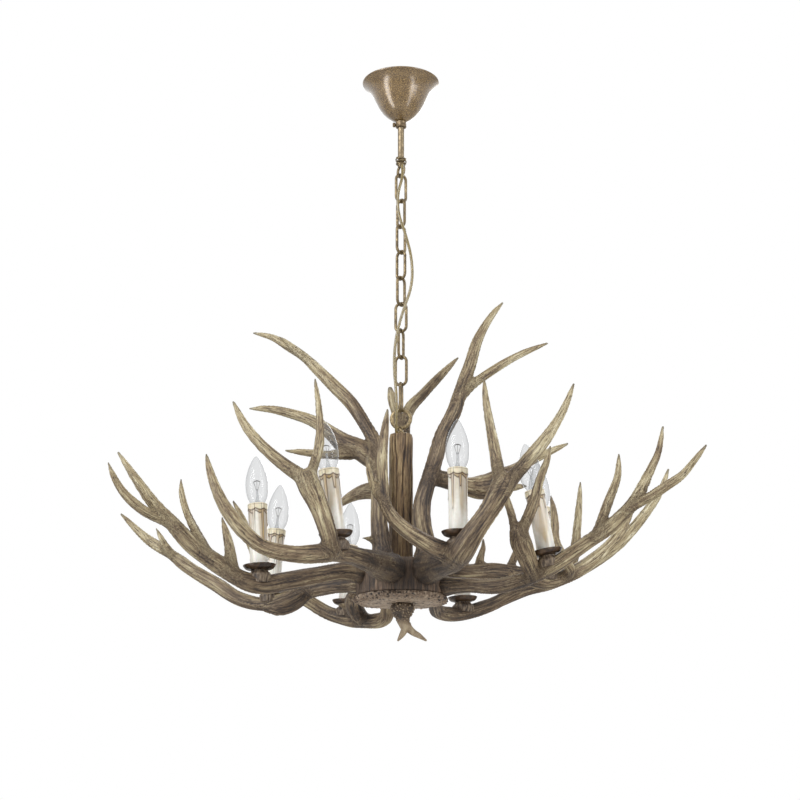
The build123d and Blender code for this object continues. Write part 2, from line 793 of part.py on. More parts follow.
seats, trays, sleeves, holders = [], [], [], []
for number, (carrier, lean) in enumerate(candles, start=1):
    place = candle_place(carrier, lean)
    seats.append(candle_seat(carrier, lean) - nodes[carrier])
    trays.append(place * drip_tray())
    sleeves.append(place * candle_sleeve())
    holders.append(place * lamp_holder())
    nodes[f"bulb_{number}"] = place * bulb()
nodes["candle_seats"] = Compound(children=seats)
nodes["drip_trays"] = Compound(children=trays)
nodes["candle_sleeves"] = Compound(children=sleeves)
nodes["lamp_holders"] = Compound(children=holders)

os.makedirs("parts", exist_ok=True)
for name, shape in nodes.items():
    export_step(shape, f"parts/{name}.step")
print("nodes:", len(nodes))
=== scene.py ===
"""Antler chandelier with eight candle lamps, dressed for its photograph as a Blender add-on."""
import math

import bpy
import numpy as np
from mathutils import Matrix, Vector, noise


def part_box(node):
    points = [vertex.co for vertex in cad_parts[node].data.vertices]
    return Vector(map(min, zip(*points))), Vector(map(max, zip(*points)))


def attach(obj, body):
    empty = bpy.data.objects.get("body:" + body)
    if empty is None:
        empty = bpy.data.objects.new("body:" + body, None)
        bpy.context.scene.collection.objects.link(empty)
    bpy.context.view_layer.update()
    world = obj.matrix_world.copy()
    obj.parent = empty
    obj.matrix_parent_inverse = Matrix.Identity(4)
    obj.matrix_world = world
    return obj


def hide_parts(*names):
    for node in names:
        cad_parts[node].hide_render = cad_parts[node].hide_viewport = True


bl_info = {
    "name": "Antler chandelier",
    "version": (1, 0, 0),
    "blender": (4, 5, 0),
    "location": "3D View > Sidebar > Chandelier",
    "description": "Builds an eight-lamp antler chandelier round its packed frame",
    "category": "Object",
}

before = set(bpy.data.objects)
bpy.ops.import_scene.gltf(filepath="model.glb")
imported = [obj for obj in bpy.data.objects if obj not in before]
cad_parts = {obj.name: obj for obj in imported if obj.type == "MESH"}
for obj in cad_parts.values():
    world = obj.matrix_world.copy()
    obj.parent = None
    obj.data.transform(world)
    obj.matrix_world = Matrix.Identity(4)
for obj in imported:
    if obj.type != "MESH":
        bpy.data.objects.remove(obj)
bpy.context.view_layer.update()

# ------------------------------------------------------------------ antler tables
# Stations: x, y, height over the hub's middle and thickness, in millimetres. A side antler's butt is its bearing on
# the hub's wall in degrees, its height and its thickness. An upright's butt is x, y and thickness on the hub's top.
# The seat is the beam's station that carries the candle.
SIDE_ANTLERS = {
    "antler_left_front": {
        "butt": (205, 7, 27),
        "beam": [
            (-136, -60, -3, 27), (-182, -80, -15, 28), (-220, -97, -23, 28), (-252, -107, -14, 27),
            (-285, -115, 7, 27), (-320, -125, 31, 26), (-355, -135, 67, 23), (-380, -140, 93, 19),
            (-408, -145, 130, 13), (-441, -150, 177, 4),
        ],
        "tines": [
            [
                (-350, -133, 64, 18), (-399, -160, 84, 15), (-427, -175, 109, 11), (-441, -185, 133, 8),
                (-448, -190, 151, 3),
            ],
            [
                (-302, -120, 22, 20), (-320, -115, 58, 15), (-334, -110, 86, 11), (-345, -100, 120, 8),
                (-349, -90, 147, 3),
            ],
            [(-262, -109, -4, 22), (-268, -105, 37, 14), (-275, -95, 62, 9), (-283, -85, 87, 3)],
        ],
        "seat": 2,
    },
    "antler_left_back": {
        "butt": (160, -2, 23),
        "beam": [
            (-141, 55, -6, 23), (-190, 78, -17, 23), (-217, 92, -24, 23), (-268, 110, -14, 22),
            (-309, 125, 12, 22), (-358, 145, 43, 20), (-394, 160, 71, 18), (-436, 175, 99, 15),
            (-490, 195, 150, 4),
        ],
        "tines": [
            [(-152, 60, -10, 18), (-175, 52, -28, 25), (-203, 46, -38, 22), (-224, 44, -37, 9)],
            [(-392, 158, 70, 14), (-408, 150, 93, 10), (-420, 145, 115, 3)],
        ],
        "seat": 2,
    },
    "antler_front_left": {
        "butt": (257, 8, 38),
        "beam": [
            (-45, -140, 6, 33), (-95, -232, 3, 26), (-113, -265, -4, 27), (-154, -277, -8, 23),
            (-206, -285, 5, 21), (-231, -290, 26, 20), (-249, -290, 48, 18), (-266, -290, 77, 15),
            (-279, -285, 109, 11), (-288, -280, 142, 4),
        ],
        "tines": [
            [
                (-100, -258, -2, 26), (-106, -280, 22, 25), (-119, -285, 60, 27), (-134, -286, 92, 34),
                (-141, -286, 110, 33),
            ],
            [
                (-143, -286, 104, 22), (-172, -285, 124, 20), (-196, -285, 144, 16), (-231, -280, 185, 12),
                (-251, -275, 224, 4),
            ],
            [
                (-137, -286, 98, 20), (-128, -285, 125, 15), (-121, -285, 154, 13), (-121, -280, 196, 10),
                (-129, -270, 260, 4),
            ],
            [
                (-6, -73, 7, 26), (-12, -76, 7, 38), (-22, -81, 7, 43), (-36, -104, 6, 39),
                (-45, -140, 6, 32),
            ],
        ],
        "seat": 1,
    },
    "antler_front_right": {
        "butt": (304, 9, 42),
        "beam": [
            (60, -130, 3, 39), (86, -210, 3, 38), (92, -233, 8, 36), (106, -250, 28, 30),
            (131, -260, 63, 28), (148, -265, 92, 34), (156, -265, 108, 36),
        ],
        "tines": [
            [
                (84, -208, 0, 32), (39, -225, 17, 24), (14, -236, 31, 21), (-10, -245, 50, 19),
                (-24, -250, 73, 19), (-27, -250, 107, 16), (-28, -250, 146, 15), (-25, -245, 182, 12),
                (-20, -240, 222, 4),
            ],
            [(-22, -250, 74, 13), (-36, -251, 87, 12), (-44, -255, 109, 10), (-51, -255, 144, 4)],
            [
                (150, -265, 98, 22), (143, -265, 125, 19), (138, -265, 160, 15), (132, -265, 196, 12),
                (127, -262, 232, 9), (125, -260, 264, 4),
            ],
            [
                (160, -265, 102, 22), (190, -268, 137, 20), (210, -272, 160, 17), (227, -276, 184, 13),
                (243, -280, 212, 10), (258, -285, 249, 4),
            ],
            [(38, -60, 8, 28), (42, -63, 8, 40), (47, -72, 8, 45), (54, -100, 6, 43), (60, -130, 3, 38)],
        ],
        "seat": 1,
    },
    "antler_right_front": {
        "butt": (340, -14, 23),
        "beam": [
            (156, -60, -19, 22), (204, -80, -8, 22), (230, -96, 3, 23), (287, -110, 39, 22),
            (335, -120, 73, 21), (367, -130, 108, 18), (383, -135, 139, 13), (402, -138, 179, 9),
            (411, -140, 221, 4),
        ],
        "tines": [
            [
                (352, -126, 90, 16), (394, -145, 112, 15), (411, -155, 122, 14), (434, -165, 137, 12),
                (450, -175, 155, 9), (470, -185, 180, 4),
            ],
            [(306, -114, 54, 18), (328, -105, 113, 13), (342, -98, 148, 10), (347, -90, 188, 4)],
            [(208, -82, -5, 26), (193, -118, 22, 27), (184, -133, 42, 32), (180, -142, 56, 28)],
            [(176, -141, 52, 14), (171, -142, 78, 12), (164, -145, 101, 9), (161, -145, 123, 3)],
            [
                (186, -141, 52, 18), (204, -150, 94, 16), (215, -155, 132, 12), (226, -160, 161, 9),
                (232, -162, 184, 4),
            ],
        ],
        "seat": 2,
    },
    "antler_right_back": {
        "butt": (10, 14, 28),
        "beam": [
            (146, 45, 21, 29), (200, 70, 20, 27), (244, 96, 14, 24), (293, 115, 34, 22), (339, 135, 68, 19),
            (376, 150, 108, 15), (404, 160, 157, 4),
        ],
        "tines": [
            [(128, 37, 20, 18), (130, 36, 42, 13), (135, 34, 59, 8), (135, 32, 75, 3)],
            [
                (275, 108, 28, 18), (282, 84, 31, 15), (270, 60, 46, 14), (256, 54, 76, 13),
                (255, 54, 110, 12), (253, 52, 130, 9), (249, 50, 152, 3),
            ],
            [(176, 60, 20, 18), (186, 75, 45, 13), (200, 90, 75, 10), (210, 98, 96, 7), (217, 104, 112, 3)],
        ],
        "seat": 2,
    },
    "antler_back_right": {
        "butt": (62, -14, 22),
        "beam": [
            (68, 180, -26, 23), (108, 229, -20, 23), (151, 245, -5, 22), (200, 250, 18, 21),
            (271, 250, 39, 21), (335, 245, 70, 21), (398, 240, 119, 19), (434, 235, 160, 15),
            (460, 230, 198, 11), (476, 225, 238, 4),
        ],
        "tines": [
            [
                (284, 250, 44, 22), (305, 248, 83, 17), (312, 245, 133, 13), (317, 242, 179, 10),
                (320, 240, 217, 4),
            ],
        ],
        "seat": 1,
    },
    "antler_back_left": {
        "butt": (102, -15, 22),
        "beam": [
            (-24, 130, -38, 22), (-50, 180, -40, 23), (-95, 231, -27, 26), (-118, 241, -21, 22),
            (-177, 250, 12, 22), (-218, 250, 32, 20), (-246, 248, 67, 18), (-264, 246, 102, 14),
            (-281, 243, 150, 11), (-299, 240, 183, 4),
        ],
        "tines": [
            [(-62, 200, -36, 20), (-76, 178, -24, 28), (-82, 145, -10, 25), (-80, 114, -4, 16)],
            [(-78, 172, -20, 18), (-98, 178, -14, 10), (-112, 176, -12, 3)],
        ],
        "seat": 2,
    },
}
UPRIGHT_ANTLERS = {
    "antler_upright_left": {
        "butt": (-30, -40, 32),
        "beam": [
            (-34, -40, 73, 26), (-35, -38, 123, 24), (-39, -32, 200, 24), (-43, -30, 222, 22),
            (-57, -25, 249, 20), (-82, -10, 293, 20), (-109, 5, 325, 20), (-136, 20, 356, 18),
            (-163, 30, 385, 16), (-191, 40, 407, 14), (-219, 50, 426, 10), (-254, 60, 438, 4),
        ],
        "tines": [
            [(-160, 29, 381, 13), (-188, 25, 406, 9), (-206, 18, 418, 3)],
            [
                (-41, -33, 186, 26), (-67, -25, 211, 34), (-92, -20, 222, 31), (-113, -15, 240, 22),
                (-145, -5, 264, 18), (-177, 5, 278, 15), (-217, 15, 290, 11), (-254, 25, 294, 4),
            ],
            [(-80, -22, 207, 24), (-116, -30, 201, 14), (-146, -38, 202, 11), (-188, -50, 203, 4)],
            [(-34, -40, 54, 14), (-51, -46, 59, 8), (-64, -50, 60, 3)],
        ],
    },
    "antler_upright_right": {
        "butt": (42, -35, 36),
        "beam": [
            (33, -35, 92, 28), (35, -32, 124, 26), (44, -30, 156, 25), (56, -25, 195, 24),
            (67, -20, 235, 22), (88, -12, 280, 22), (99, -5, 317, 21), (112, 2, 353, 20),
            (129, 12, 409, 16), (140, 18, 433, 13), (157, 24, 461, 9), (174, 30, 483, 4),
        ],
        "tines": [
            [
                (92, -6, 300, 20), (118, 0, 328, 17), (146, 8, 350, 13), (174, 17, 371, 11),
                (209, 28, 393, 9), (250, 38, 413, 4),
            ],
            [
                (46, -26, 164, 24), (68, -12, 164, 26), (104, 8, 157, 27), (138, 25, 160, 38),
                (160, 34, 176, 28), (186, 45, 192, 20), (222, 55, 214, 15), (253, 63, 230, 10),
                (283, 70, 245, 4),
            ],
            [(148, 30, 160, 24), (172, 40, 160, 14), (198, 50, 166, 9), (210, 55, 168, 4)],
        ],
    },
    "antler_upright_rear": {
        "butt": (5, 45, 30),
        "beam": [
            (3, 50, 142, 26), (2, 53, 250, 25), (13, 58, 300, 19), (40, 66, 333, 15), (67, 74, 365, 12),
            (99, 82, 401, 4),
        ],
        "tines": [
            [(3, 54, 262, 20), (-8, 52, 294, 15), (-16, 49, 322, 13), (-19, 48, 338, 7)],
            [
                (3, 50, 138, 24), (-22, 60, 155, 25), (-50, 72, 164, 26), (-80, 84, 158, 18),
                (-103, 94, 144, 9), (-110, 97, 136, 3),
            ],
        ],
    },
}
# Which antler carries each candle, and its lean towards +X in degrees
CANDLES = [
    ("antler_left_front", -3), ("antler_left_back", 4), ("antler_front_left", -7), ("antler_back_left", 2),
    ("antler_front_right", 0), ("antler_back_right", -2), ("antler_right_front", -10), ("antler_right_back", -4),
]
# The supply cord's route, in metres
CORD_ROUTE = [
    (0.0020, -0.0135, -0.1600), (0.0040, -0.0200, -0.1830), (-0.0060, -0.0225, -0.2160), (-0.0050, -0.0230, -0.2540),
    (0.0090, -0.0220, -0.2940), (0.0190, -0.0180, -0.3360), (0.0190, -0.0190, -0.3820), (0.0030, -0.0220, -0.4280),
    (-0.0090, -0.0210, -0.4740), (-0.0120, -0.0200, -0.5220), (-0.0080, -0.0220, -0.5660), (-0.0070, -0.0250, -0.5980),
    (-0.0085, -0.0170, -0.6225), (-0.0075, -0.0100, -0.6352),
]
# How far each link is turned about the chain, from the top down, in degrees
LINK_TURNS = [30, 130, 45, 135, 50, 160, 65, 162, 81]

# The hub's middle, radius and height, which the antlers stand round
hub_low, hub_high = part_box("hub")
HUB_MIDDLE = (hub_low[2] + hub_high[2]) / 2
HUB_RADIUS = (hub_high[1] - hub_low[1]) / 2
HUB_HEIGHT = hub_high[2] - hub_low[2]

# How a butt swells at the hub: distance from the hub's face in millimetres, share of the thickness
WALL_SWELL = [(-12, 1.0), (-4, 1.2), (4, 1.26), (14, 1.08), (27, 1.0)]
TOP_SWELL = [(-8, 1.0), (4, 1.2), (12, 1.02)]
# The antlers' grooves, wide to hair-fine: scale across the limb, shift of the pattern, scale along it, share
GROOVES = [(1.3, 0, 6, 0.9), (3.2, 20, 9, 1.0), (7.5, 40, 12, 0.9)]
# Sizes in metres: first how finely a limb is sampled, its least radius, and the thickness from which its end is blunt
LIMB_STEP = 0.005
LIMB_LEAST = 0.004
BLUNT_END = 0.0085
TRAY_FLOOR = 0.002
SLEEVE_WALL = 0.0015
HOLDER_DROP = 0.002
BULB_GAP = 0.0003
TIE_RADIUS = 0.0011
EYE_WIDTH = 0.026
LINK_WIDTH = 0.024
RING_WIDTH = 0.038
COLUMN_RADIUS = 0.019
PLATE_RADIUS = 0.080
# How deep the valleys between rope strands are, as a share of the wire
STRAND_DEPTH = 0.14
# The canopy's bell and its collar, as radius and height in millimetres
BELL = [
    (66.4, -0.2), (67.2, -1.0), (66.8, -2.4), (64, -4.4), (59, -9), (53.6, -15), (49.4, -22), (45.6, -31),
    (41, -41), (35.6, -51), (28, -60.5), (19, -68), (11.5, -72.4), (6.4, -74),
]
BELL_FOOT = -0.074
COLLAR = [(6.2, 0), (9, 0), (9.6, -1.2), (9.2, -3.5), (9.2, -8), (9.6, -9.6), (8.6, -11), (6.2, -11)]
# The bulb's flame, as shares of its length and of its widest radius
FLAME = [
    (0.0, 0.56), (0.03, 0.6), (0.08, 0.72), (0.16, 0.87), (0.26, 0.97), (0.37, 1.0), (0.48, 0.98), (0.6, 0.89),
    (0.71, 0.75), (0.81, 0.58), (0.89, 0.41), (0.95, 0.26), (0.985, 0.13), (1.0, 0.02),
]
# The studio: name, place, width and height, power, what it points at, and whether it shows in sheens only
LAMPS = [
    ("key", (-1.6, -2.2, 0.9), (1.4, 1.4), 50, (0, 0, -0.75), False),
    ("fill", (2.2, -1.6, -0.2), (1.6, 1.6), 26, (0, 0, -0.8), False),
    ("back", (0.6, 2.4, 0.5), (1.8, 1.8), 26, (0, 0, -0.8), False),
    ("left_panel", (-1.8, -1.05, -0.7), (0.6, 3.6), 44, (0, 0, -0.7), True),
    ("right_panel", (1.5, -1.35, -0.7), (0.45, 3.6), 18, (0, 0, -0.7), True),
]
SENSOR_WIDTH = 36
LENS_SHIFT = -0.00125
FLOOR_HALF = 6.0


# ------------------------------------------------------------------ finishes
def paint(code):
    """A linear colour from a #rrggbb code."""
    levels = [int(code[i:i + 2], 16) / 255 for i in (1, 3, 5)]
    return [*(v / 12.92 if v <= 0.04045 else ((v + 0.055) / 1.055) ** 2.4 for v in levels), 1.0]


class Finish:
    """A material being mixed. add() puts in a node and returns it, and sockets given as values are wired."""

    def __init__(self, name, colour="#808080", roughness=0.5, metallic=0.0):
        self.material = bpy.data.materials.new(name)
        self.material.use_nodes = True
        self.tree = self.material.node_tree
        self.shader = self.tree.nodes["Principled BSDF"]
        self.set("Base Color", paint(colour))
        self.set("Roughness", roughness)
        self.set("Metallic", metallic)

    def put(self, socket, value):
        if isinstance(value, bpy.types.NodeSocket):
            self.tree.links.new(value, socket)
        else:
            socket.default_value = value

    def set(self, name, value):
        self.put(self.shader.inputs[name], value)

    def add(self, kind, *values, **settings):
        node = self.tree.nodes.new("ShaderNode" + kind)
        for name, value in settings.items():
            if name in node.inputs:
                self.put(node.inputs[name], value)
            else:
                setattr(node, name, value)
        for socket, value in zip(node.inputs, values):
            self.put(socket, value)
        return node

    def sums(self, operation, *values):
        return self.add("Math", *values, operation=operation).outputs[0]

    def spread(self, value, low, high, out_low=0.0, out_high=1.0):
        node = self.add("MapRange", value, low, high, out_low, out_high, interpolation_type="SMOOTHSTEP")
        return node.outputs[0]

    def place(self, stretch=(1, 1, 1)):
        """Object coordinates, stretched."""
        source = self.add("TexCoord").outputs["Object"]
        return self.add("Mapping", Vector=source, Scale=stretch).outputs[0]

    def held(self, name):
        """A value kept on the mesh's vertices."""
        return self.add("Attribute", attribute_name=name).outputs["Fac"]

    def grain(self, where, scale, detail=3.0, roughness=0.55):
        return self.add("TexNoise", Vector=where, Scale=scale, Detail=detail, Roughness=roughness).outputs[0]

    def cells(self, where, scale):
        return self.add("TexVoronoi", Vector=where, Scale=scale).outputs["Distance"]

    def ramp(self, value, *stops):
        node = self.add("ValToRGB", value)
        stop = node.color_ramp.elements
        while len(stop) < len(stops):
            stop.new(0.5)
        for at, (where, code) in zip(stop, stops):
            at.position = where
            at.color = paint(code)
        return node.outputs[0]

    def mix(self, factor, first, second, blend="MIX"):
        node = self.add("Mix", data_type="RGBA", blend_type=blend)
        for socket, value in ((node.inputs[0], factor), (node.inputs[6], first), (node.inputs[7], second)):
            self.put(socket, paint(value) if isinstance(value, str) else value)
        return node.outputs[2]

    def relief(self, height, distance, strength=1.0):
        node = self.add("Bump", Strength=strength, Distance=distance, Height=height)
        self.set("Normal", node.outputs[0])


def cast_antler():
    """Hand-stained resin antler: fine dark grooves, pale ridges and tines, grey tips, pits where it is thick."""
    f = Finish("cast antler", roughness=0.6)
    along = f.add("Attribute", attribute_name="grain").outputs["Vector"]
    height, reach, knot, tip = f.held("ridge"), f.held("reach"), f.held("knot"), f.held("tip")
    fine = f.grain(along, 900, 4, 0.65)
    strands = f.grain(along, 380, 4, 0.62)
    broad = f.grain(along, 80, 2)
    stain = f.grain(f.place(), 11, 3)
    tone = f.sums("MULTIPLY_ADD", strands, 1.15, f.sums("MULTIPLY_ADD", broad, 0.45, -0.8))
    tone = f.sums("ADD", tone, f.sums("MULTIPLY_ADD", stain, 0.9, -0.45))
    tone = f.sums("ADD", tone, f.sums("MULTIPLY_ADD", reach, 0.42, 0.24))
    tone = f.sums("ADD", tone, f.sums("MULTIPLY_ADD", height, 0.5, -0.26))
    colour = f.ramp(
        tone, (0.02, "#37281a"), (0.2, "#5e4b36"), (0.38, "#867357"), (0.56, "#a79876"), (0.74, "#c4b896"),
        (0.93, "#e2dabe"),
    )
    lines = f.spread(fine, 0.37, 0.49, 0.9, 0.0)
    colour = f.mix(lines, colour, "#594430", "MULTIPLY")
    colour = f.mix(f.spread(height, 0.36, 0.05, 0.0, 0.75), colour, "#6a543e", "MULTIPLY")
    pits = f.cells(f.place(), 420)
    colour = f.mix(f.sums("MULTIPLY", f.spread(pits, 0.42, 0.2, 0.0, 0.55), knot), colour, "#6a5544", "MULTIPLY")
    colour = f.mix(f.sums("MULTIPLY", knot, 0.25), colour, "#a38f7c", "MULTIPLY")
    colour = f.mix(f.sums("MULTIPLY", tip, 0.75), colour, "#4e493e")
    f.set("Base Color", colour)
    f.set("Roughness", f.spread(strands, 0.3, 0.7, 0.68, 0.46))
    pores = f.sums("MULTIPLY", f.spread(pits, 0.15, 0.4), f.sums("MULTIPLY", knot, 0.7))
    f.relief(f.sums("MULTIPLY_ADD", fine, 0.6, f.sums("ADD", strands, pores)), 0.0013, 1.0)
    return f.material


def cast_bark():
    """The column: dark narrow grooves between pale, finely grained ridges, and painted shade darkening it towards its
    foot.
    """
    f = Finish("cast bark", roughness=0.65)
    fine = f.grain(f.place((1, 1, 0.06)), 1500, 4, 0.6)
    strands = f.grain(f.place((1, 1, 0.05)), 420, 3, 0.6)
    stain = f.grain(f.place((1, 1, 0.5)), 30, 4)
    tone = f.sums("MULTIPLY_ADD", f.held("ridge"), 0.5, f.sums("MULTIPLY_ADD", strands, 1.0, -0.42))
    tone = f.sums("ADD", tone, f.sums("MULTIPLY_ADD", stain, 0.9, -0.42))
    colour = f.ramp(
        tone, (0.02, "#2c1d11"), (0.16, "#54402b"), (0.34, "#876e4d"), (0.55, "#aa946e"), (0.75, "#cab78e"),
        (1.0, "#e2d6b2"),
    )
    # Painted shade: the column darkens towards its foot
    colour = f.mix(f.spread(f.held("low"), 0.0, 1.0, 0.0, 0.45), colour, "#8d7356", "MULTIPLY")
    f.set("Base Color", f.mix(f.spread(fine, 0.36, 0.48, 0.75, 0.0), colour, "#604a30", "MULTIPLY"))
    f.relief(f.sums("ADD", fine, strands), 0.0012, 0.9)
    return f.material


def cast_fibre():
    """The hub: brown vertical fibres."""
    f = Finish("cast fibre", roughness=0.62)
    fine = f.grain(f.place((1, 1, 0.07)), 1300, 4, 0.6)
    strands = f.grain(f.place((1, 1, 0.08)), 330, 3, 0.6)
    stain = f.grain(f.place(), 22, 4)
    tone = f.sums("MULTIPLY_ADD", strands, 0.9, f.sums("MULTIPLY_ADD", stain, 0.7, -0.75))
    tone = f.sums("MULTIPLY_ADD", f.held("ridge"), 0.45, tone)
    colour = f.ramp(tone, (0.0, "#2b1d14"), (0.25, "#52402f"), (0.5, "#7d6550"), (0.75, "#9f866d"), (1.0, "#bba58a"))
    f.set("Base Color", f.mix(f.spread(fine, 0.36, 0.5, 0.7, 0.0), colour, "#5d4734", "MULTIPLY"))
    f.relief(f.sums("ADD", fine, strands), 0.0012, 0.9)
    return f.material


def cast_burr(name, dark, low, middle, high, pitting=0.0):
    """Pearled burr: pale swellings, dark valleys, and near black pits where it is pitted."""
    f = Finish(name, roughness=0.58)
    swell = f.held("ridge")
    speck = f.grain(f.place(), 620, 4, 0.65)
    stain = f.grain(f.place(), 60, 4)
    tone = f.sums("MULTIPLY_ADD", swell, 0.62, f.sums("MULTIPLY_ADD", speck, 0.5, -0.12))
    tone = f.sums("ADD", tone, f.sums("MULTIPLY_ADD", stain, 0.5, -0.3))
    colour = f.ramp(tone, (0.08, dark), (0.3, low), (0.6, middle), (0.92, high))
    if pitting:
        pits = f.spread(f.cells(f.place(), 170), 0.44, 0.28, 0.0, pitting)
        kept = f.spread(f.grain(f.place(), 90, 2), 0.4, 0.5)
        colour = f.mix(f.sums("MULTIPLY", pits, kept), colour, "#20150e")
        speck = f.sums("SUBTRACT", speck, f.sums("MULTIPLY", pits, kept))
    f.set("Base Color", colour)
    f.relief(speck, 0.0009, 0.8)
    return f.material


def speckled_bronze():
    """Semi-gloss antique bronze with a fine dark and golden speckle."""
    f = Finish("speckled bronze", roughness=0.3, metallic=0.15)
    speck = f.grain(f.place(), 900, 2, 0.5)
    second = f.grain(f.place(), 560, 2, 0.5)
    cloud = f.grain(f.place(), 18, 3)
    colour = f.ramp(speck, (0.36, "#38260f"), (0.46, "#61492a"), (0.54, "#82683d"), (0.64, "#b39765"))
    colour = f.mix(f.spread(second, 0.58, 0.66, 0.0, 0.7), colour, "#47301a")
    f.set("Base Color", f.mix(f.spread(cloud, 0.35, 0.7, 0.0, 0.3), colour, "#8a6e4a", "MULTIPLY"))
    f.set("Roughness", f.spread(second, 0.35, 0.65, 0.2, 0.32))
    f.set("Coat Weight", 0.9)
    f.set("Coat Roughness", 0.16)
    f.relief(speck, 0.0003, 0.4)
    return f.material


def aged_bronze(name, dark, low, high):
    """Rubbed bronze with a darker patina."""
    f = Finish(name, roughness=0.36, metallic=0.5)
    patch = f.grain(f.place(), 160, 3, 0.6)
    fine = f.grain(f.place(), 900, 3)
    tone = f.sums("MULTIPLY_ADD", f.held("ridge"), 0.45, f.sums("MULTIPLY_ADD", patch, 0.8, -0.05))
    tone = f.sums("MULTIPLY_ADD", fine, 0.25, f.sums("ADD", tone, -0.12))
    f.set("Base Color", f.ramp(tone, (0.12, dark), (0.42, low), (0.8, high)))
    f.set("Roughness", f.spread(patch, 0.3, 0.7, 0.46, 0.28))
    f.relief(fine, 0.0003, 0.5)
    return f.material


def candle_wax():
    """Ivory moulded candle: cream collar, brown-lined drips, a line of painted shade under the rim and a gold wash that
    fades downwards.
    """
    f = Finish("candle ivory", roughness=0.38)
    streak = f.grain(f.place((1, 1, 0.1)), 260, 3)
    cloud = f.grain(f.place(), 130, 3)
    colour = f.mix(f.spread(cloud, 0.35, 0.65), "#ebe7dc", "#f3f0e8")
    colour = f.mix(f.held("band"), colour, f.mix(f.spread(cloud, 0.3, 0.7), "#d6caa9", "#ebe2c9"))
    gold = f.sums("MULTIPLY", f.held("gold"), f.spread(streak, 0.3, 0.7, 0.6, 1.0))
    colour = f.mix(gold, colour, f.mix(f.spread(streak, 0.35, 0.7), "#86683a", "#b79d68"))
    # Brown outlines of the drips and the collar, and the line of painted shade under the rim
    f.set("Base Color", f.mix(f.held("line"), colour, "#4b3319"))
    f.set("Subsurface Weight", 0.06)
    f.set("Subsurface Scale", 0.004)
    f.set("Coat Weight", 0.25)
    f.set("Coat Roughness", 0.2)
    f.relief(cloud, 0.0002, 0.4)
    return f.material


def bulb_glass():
    """Thin clear glass, seen as a grey edge and a faint inner tone."""
    f = Finish("clear glass", "#7c8389", 0.03)
    edge = f.add("LayerWeight", Blend=0.5).outputs["Facing"]
    f.set("Alpha", f.sums("MULTIPLY_ADD", f.sums("POWER", edge, 3.0), 0.8, 0.16))
    f.set("IOR", 1.5)
    f.set("Coat Weight", 0.8)
    return f.material


def simple(name, colour, light, roughness, metallic=0.0, scale=120, depth=0.0002):
    """A moulded, plated or painted finish with fine mottling."""
    f = Finish(name, colour, roughness, metallic)
    speck = f.grain(f.place(), scale, 4)
    f.set("Base Color", f.mix(f.spread(speck, 0.35, 0.65), colour, light))
    f.set("Roughness", f.spread(speck, 0.3, 0.7, max(0.05, roughness - 0.08), roughness + 0.08))
    f.relief(speck, depth, 0.6)
    return f.material


# ------------------------------------------------------------------ forms
def make_piece(name, form, body, finish, replaced=(), values=None, crease=40):
    """A mesh object with its finish, riding on a body and standing for CAD nodes."""
    verts, faces = form
    mesh = bpy.data.meshes.new(name)
    mesh.from_pydata([tuple(v) for v in verts], [], faces)
    mesh.validate()
    mesh.polygons.foreach_set("use_smooth", [True] * len(mesh.polygons))
    mesh.set_sharp_from_angle(angle=math.radians(crease))
    for label, numbers in (values or {}).items():
        mark(mesh, label, numbers)
    return add_piece(name, mesh, body, finish, replaced)


def add_piece(name, data, body, finish, replaced=()):
    """An object of the data, in its finish, on its body, in place of its CAD nodes."""
    data.materials.clear()
    data.materials.append(finish)
    piece = bpy.data.objects.new(name, data)
    bpy.context.scene.collection.objects.link(piece)
    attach(piece, body)
    if replaced:
        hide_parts(*replaced)
    return piece


def mark(mesh, label, numbers):
    """Keeps a value on each vertex for the finish."""
    mesh.attributes.new(label, "FLOAT", "POINT").data.foreach_set("value", np.asarray(numbers, np.float32))


def circle(count):
    """The angle, cosine and sine of evenly spaced turns."""
    turns = [2 * math.pi * k / count for k in range(count)]
    return [(t, math.cos(t), math.sin(t)) for t in turns]


def turn_gap(first, second):
    """How far two angles are apart."""
    return abs((first - second + math.pi) % (2 * math.pi) - math.pi)


def in_metres(outline, lift=0.0):
    """(radius, height) pairs in millimetres as metres, lifted."""
    return [(radius / 1000, height / 1000 + lift) for radius, height in outline]


def above(outline, height):
    """(radius, height) pairs raised by a height."""
    return [(radius, height + z) for radius, z in outline]


def bridge(rings, endless=False, foot=True):
    """Vertices and faces of a skin over rings of equal count, capped unless it is endless or its foot is left open."""
    count = len(rings[0])
    total = len(rings)
    verts = [tuple(v) for r in rings for v in r]
    faces = []
    for i in range(total if endless else total - 1):
        a, b = i * count, (i + 1) % total * count
        for k in range(count):
            n = (k + 1) % count
            faces.append((a + k, a + n, b + n, b + k))
    if not endless and foot:
        faces.append(tuple(range(count))[::-1])
    if not endless:
        faces.append(tuple((total - 1) * count + k for k in range(count)))
    return verts, faces


def turned(outline, flats, endless=False):
    """A turning about Z through (radius, height) pairs in metres."""
    rings = [[(radius * c, radius * s, height) for _, c, s in circle(flats)] for radius, height in outline]
    return bridge(rings, endless)


def rounded(outline, rounds=2):
    """An open outline with its corners cut off again and again, ends kept."""
    points = [Vector(p) for p in outline]
    for _ in range(rounds):
        cut = [points[0]]
        for a, b in zip(points, points[1:]):
            cut += [a.lerp(b, 0.25), a.lerp(b, 0.75)]
        points = [*cut, points[-1]]
    return [tuple(p) for p in points]


def moved(form, matrix):
    """A form placed by a matrix."""
    verts, faces = form
    return [tuple(matrix @ Vector(v)) for v in verts], faces


def join_forms(*forms):
    """Several (verts, faces) as one."""
    verts, faces = [], []
    for some_verts, some_faces in forms:
        start = len(verts)
        verts += list(some_verts)
        faces += [tuple(start + i for i in face) for face in some_faces]
    return verts, faces


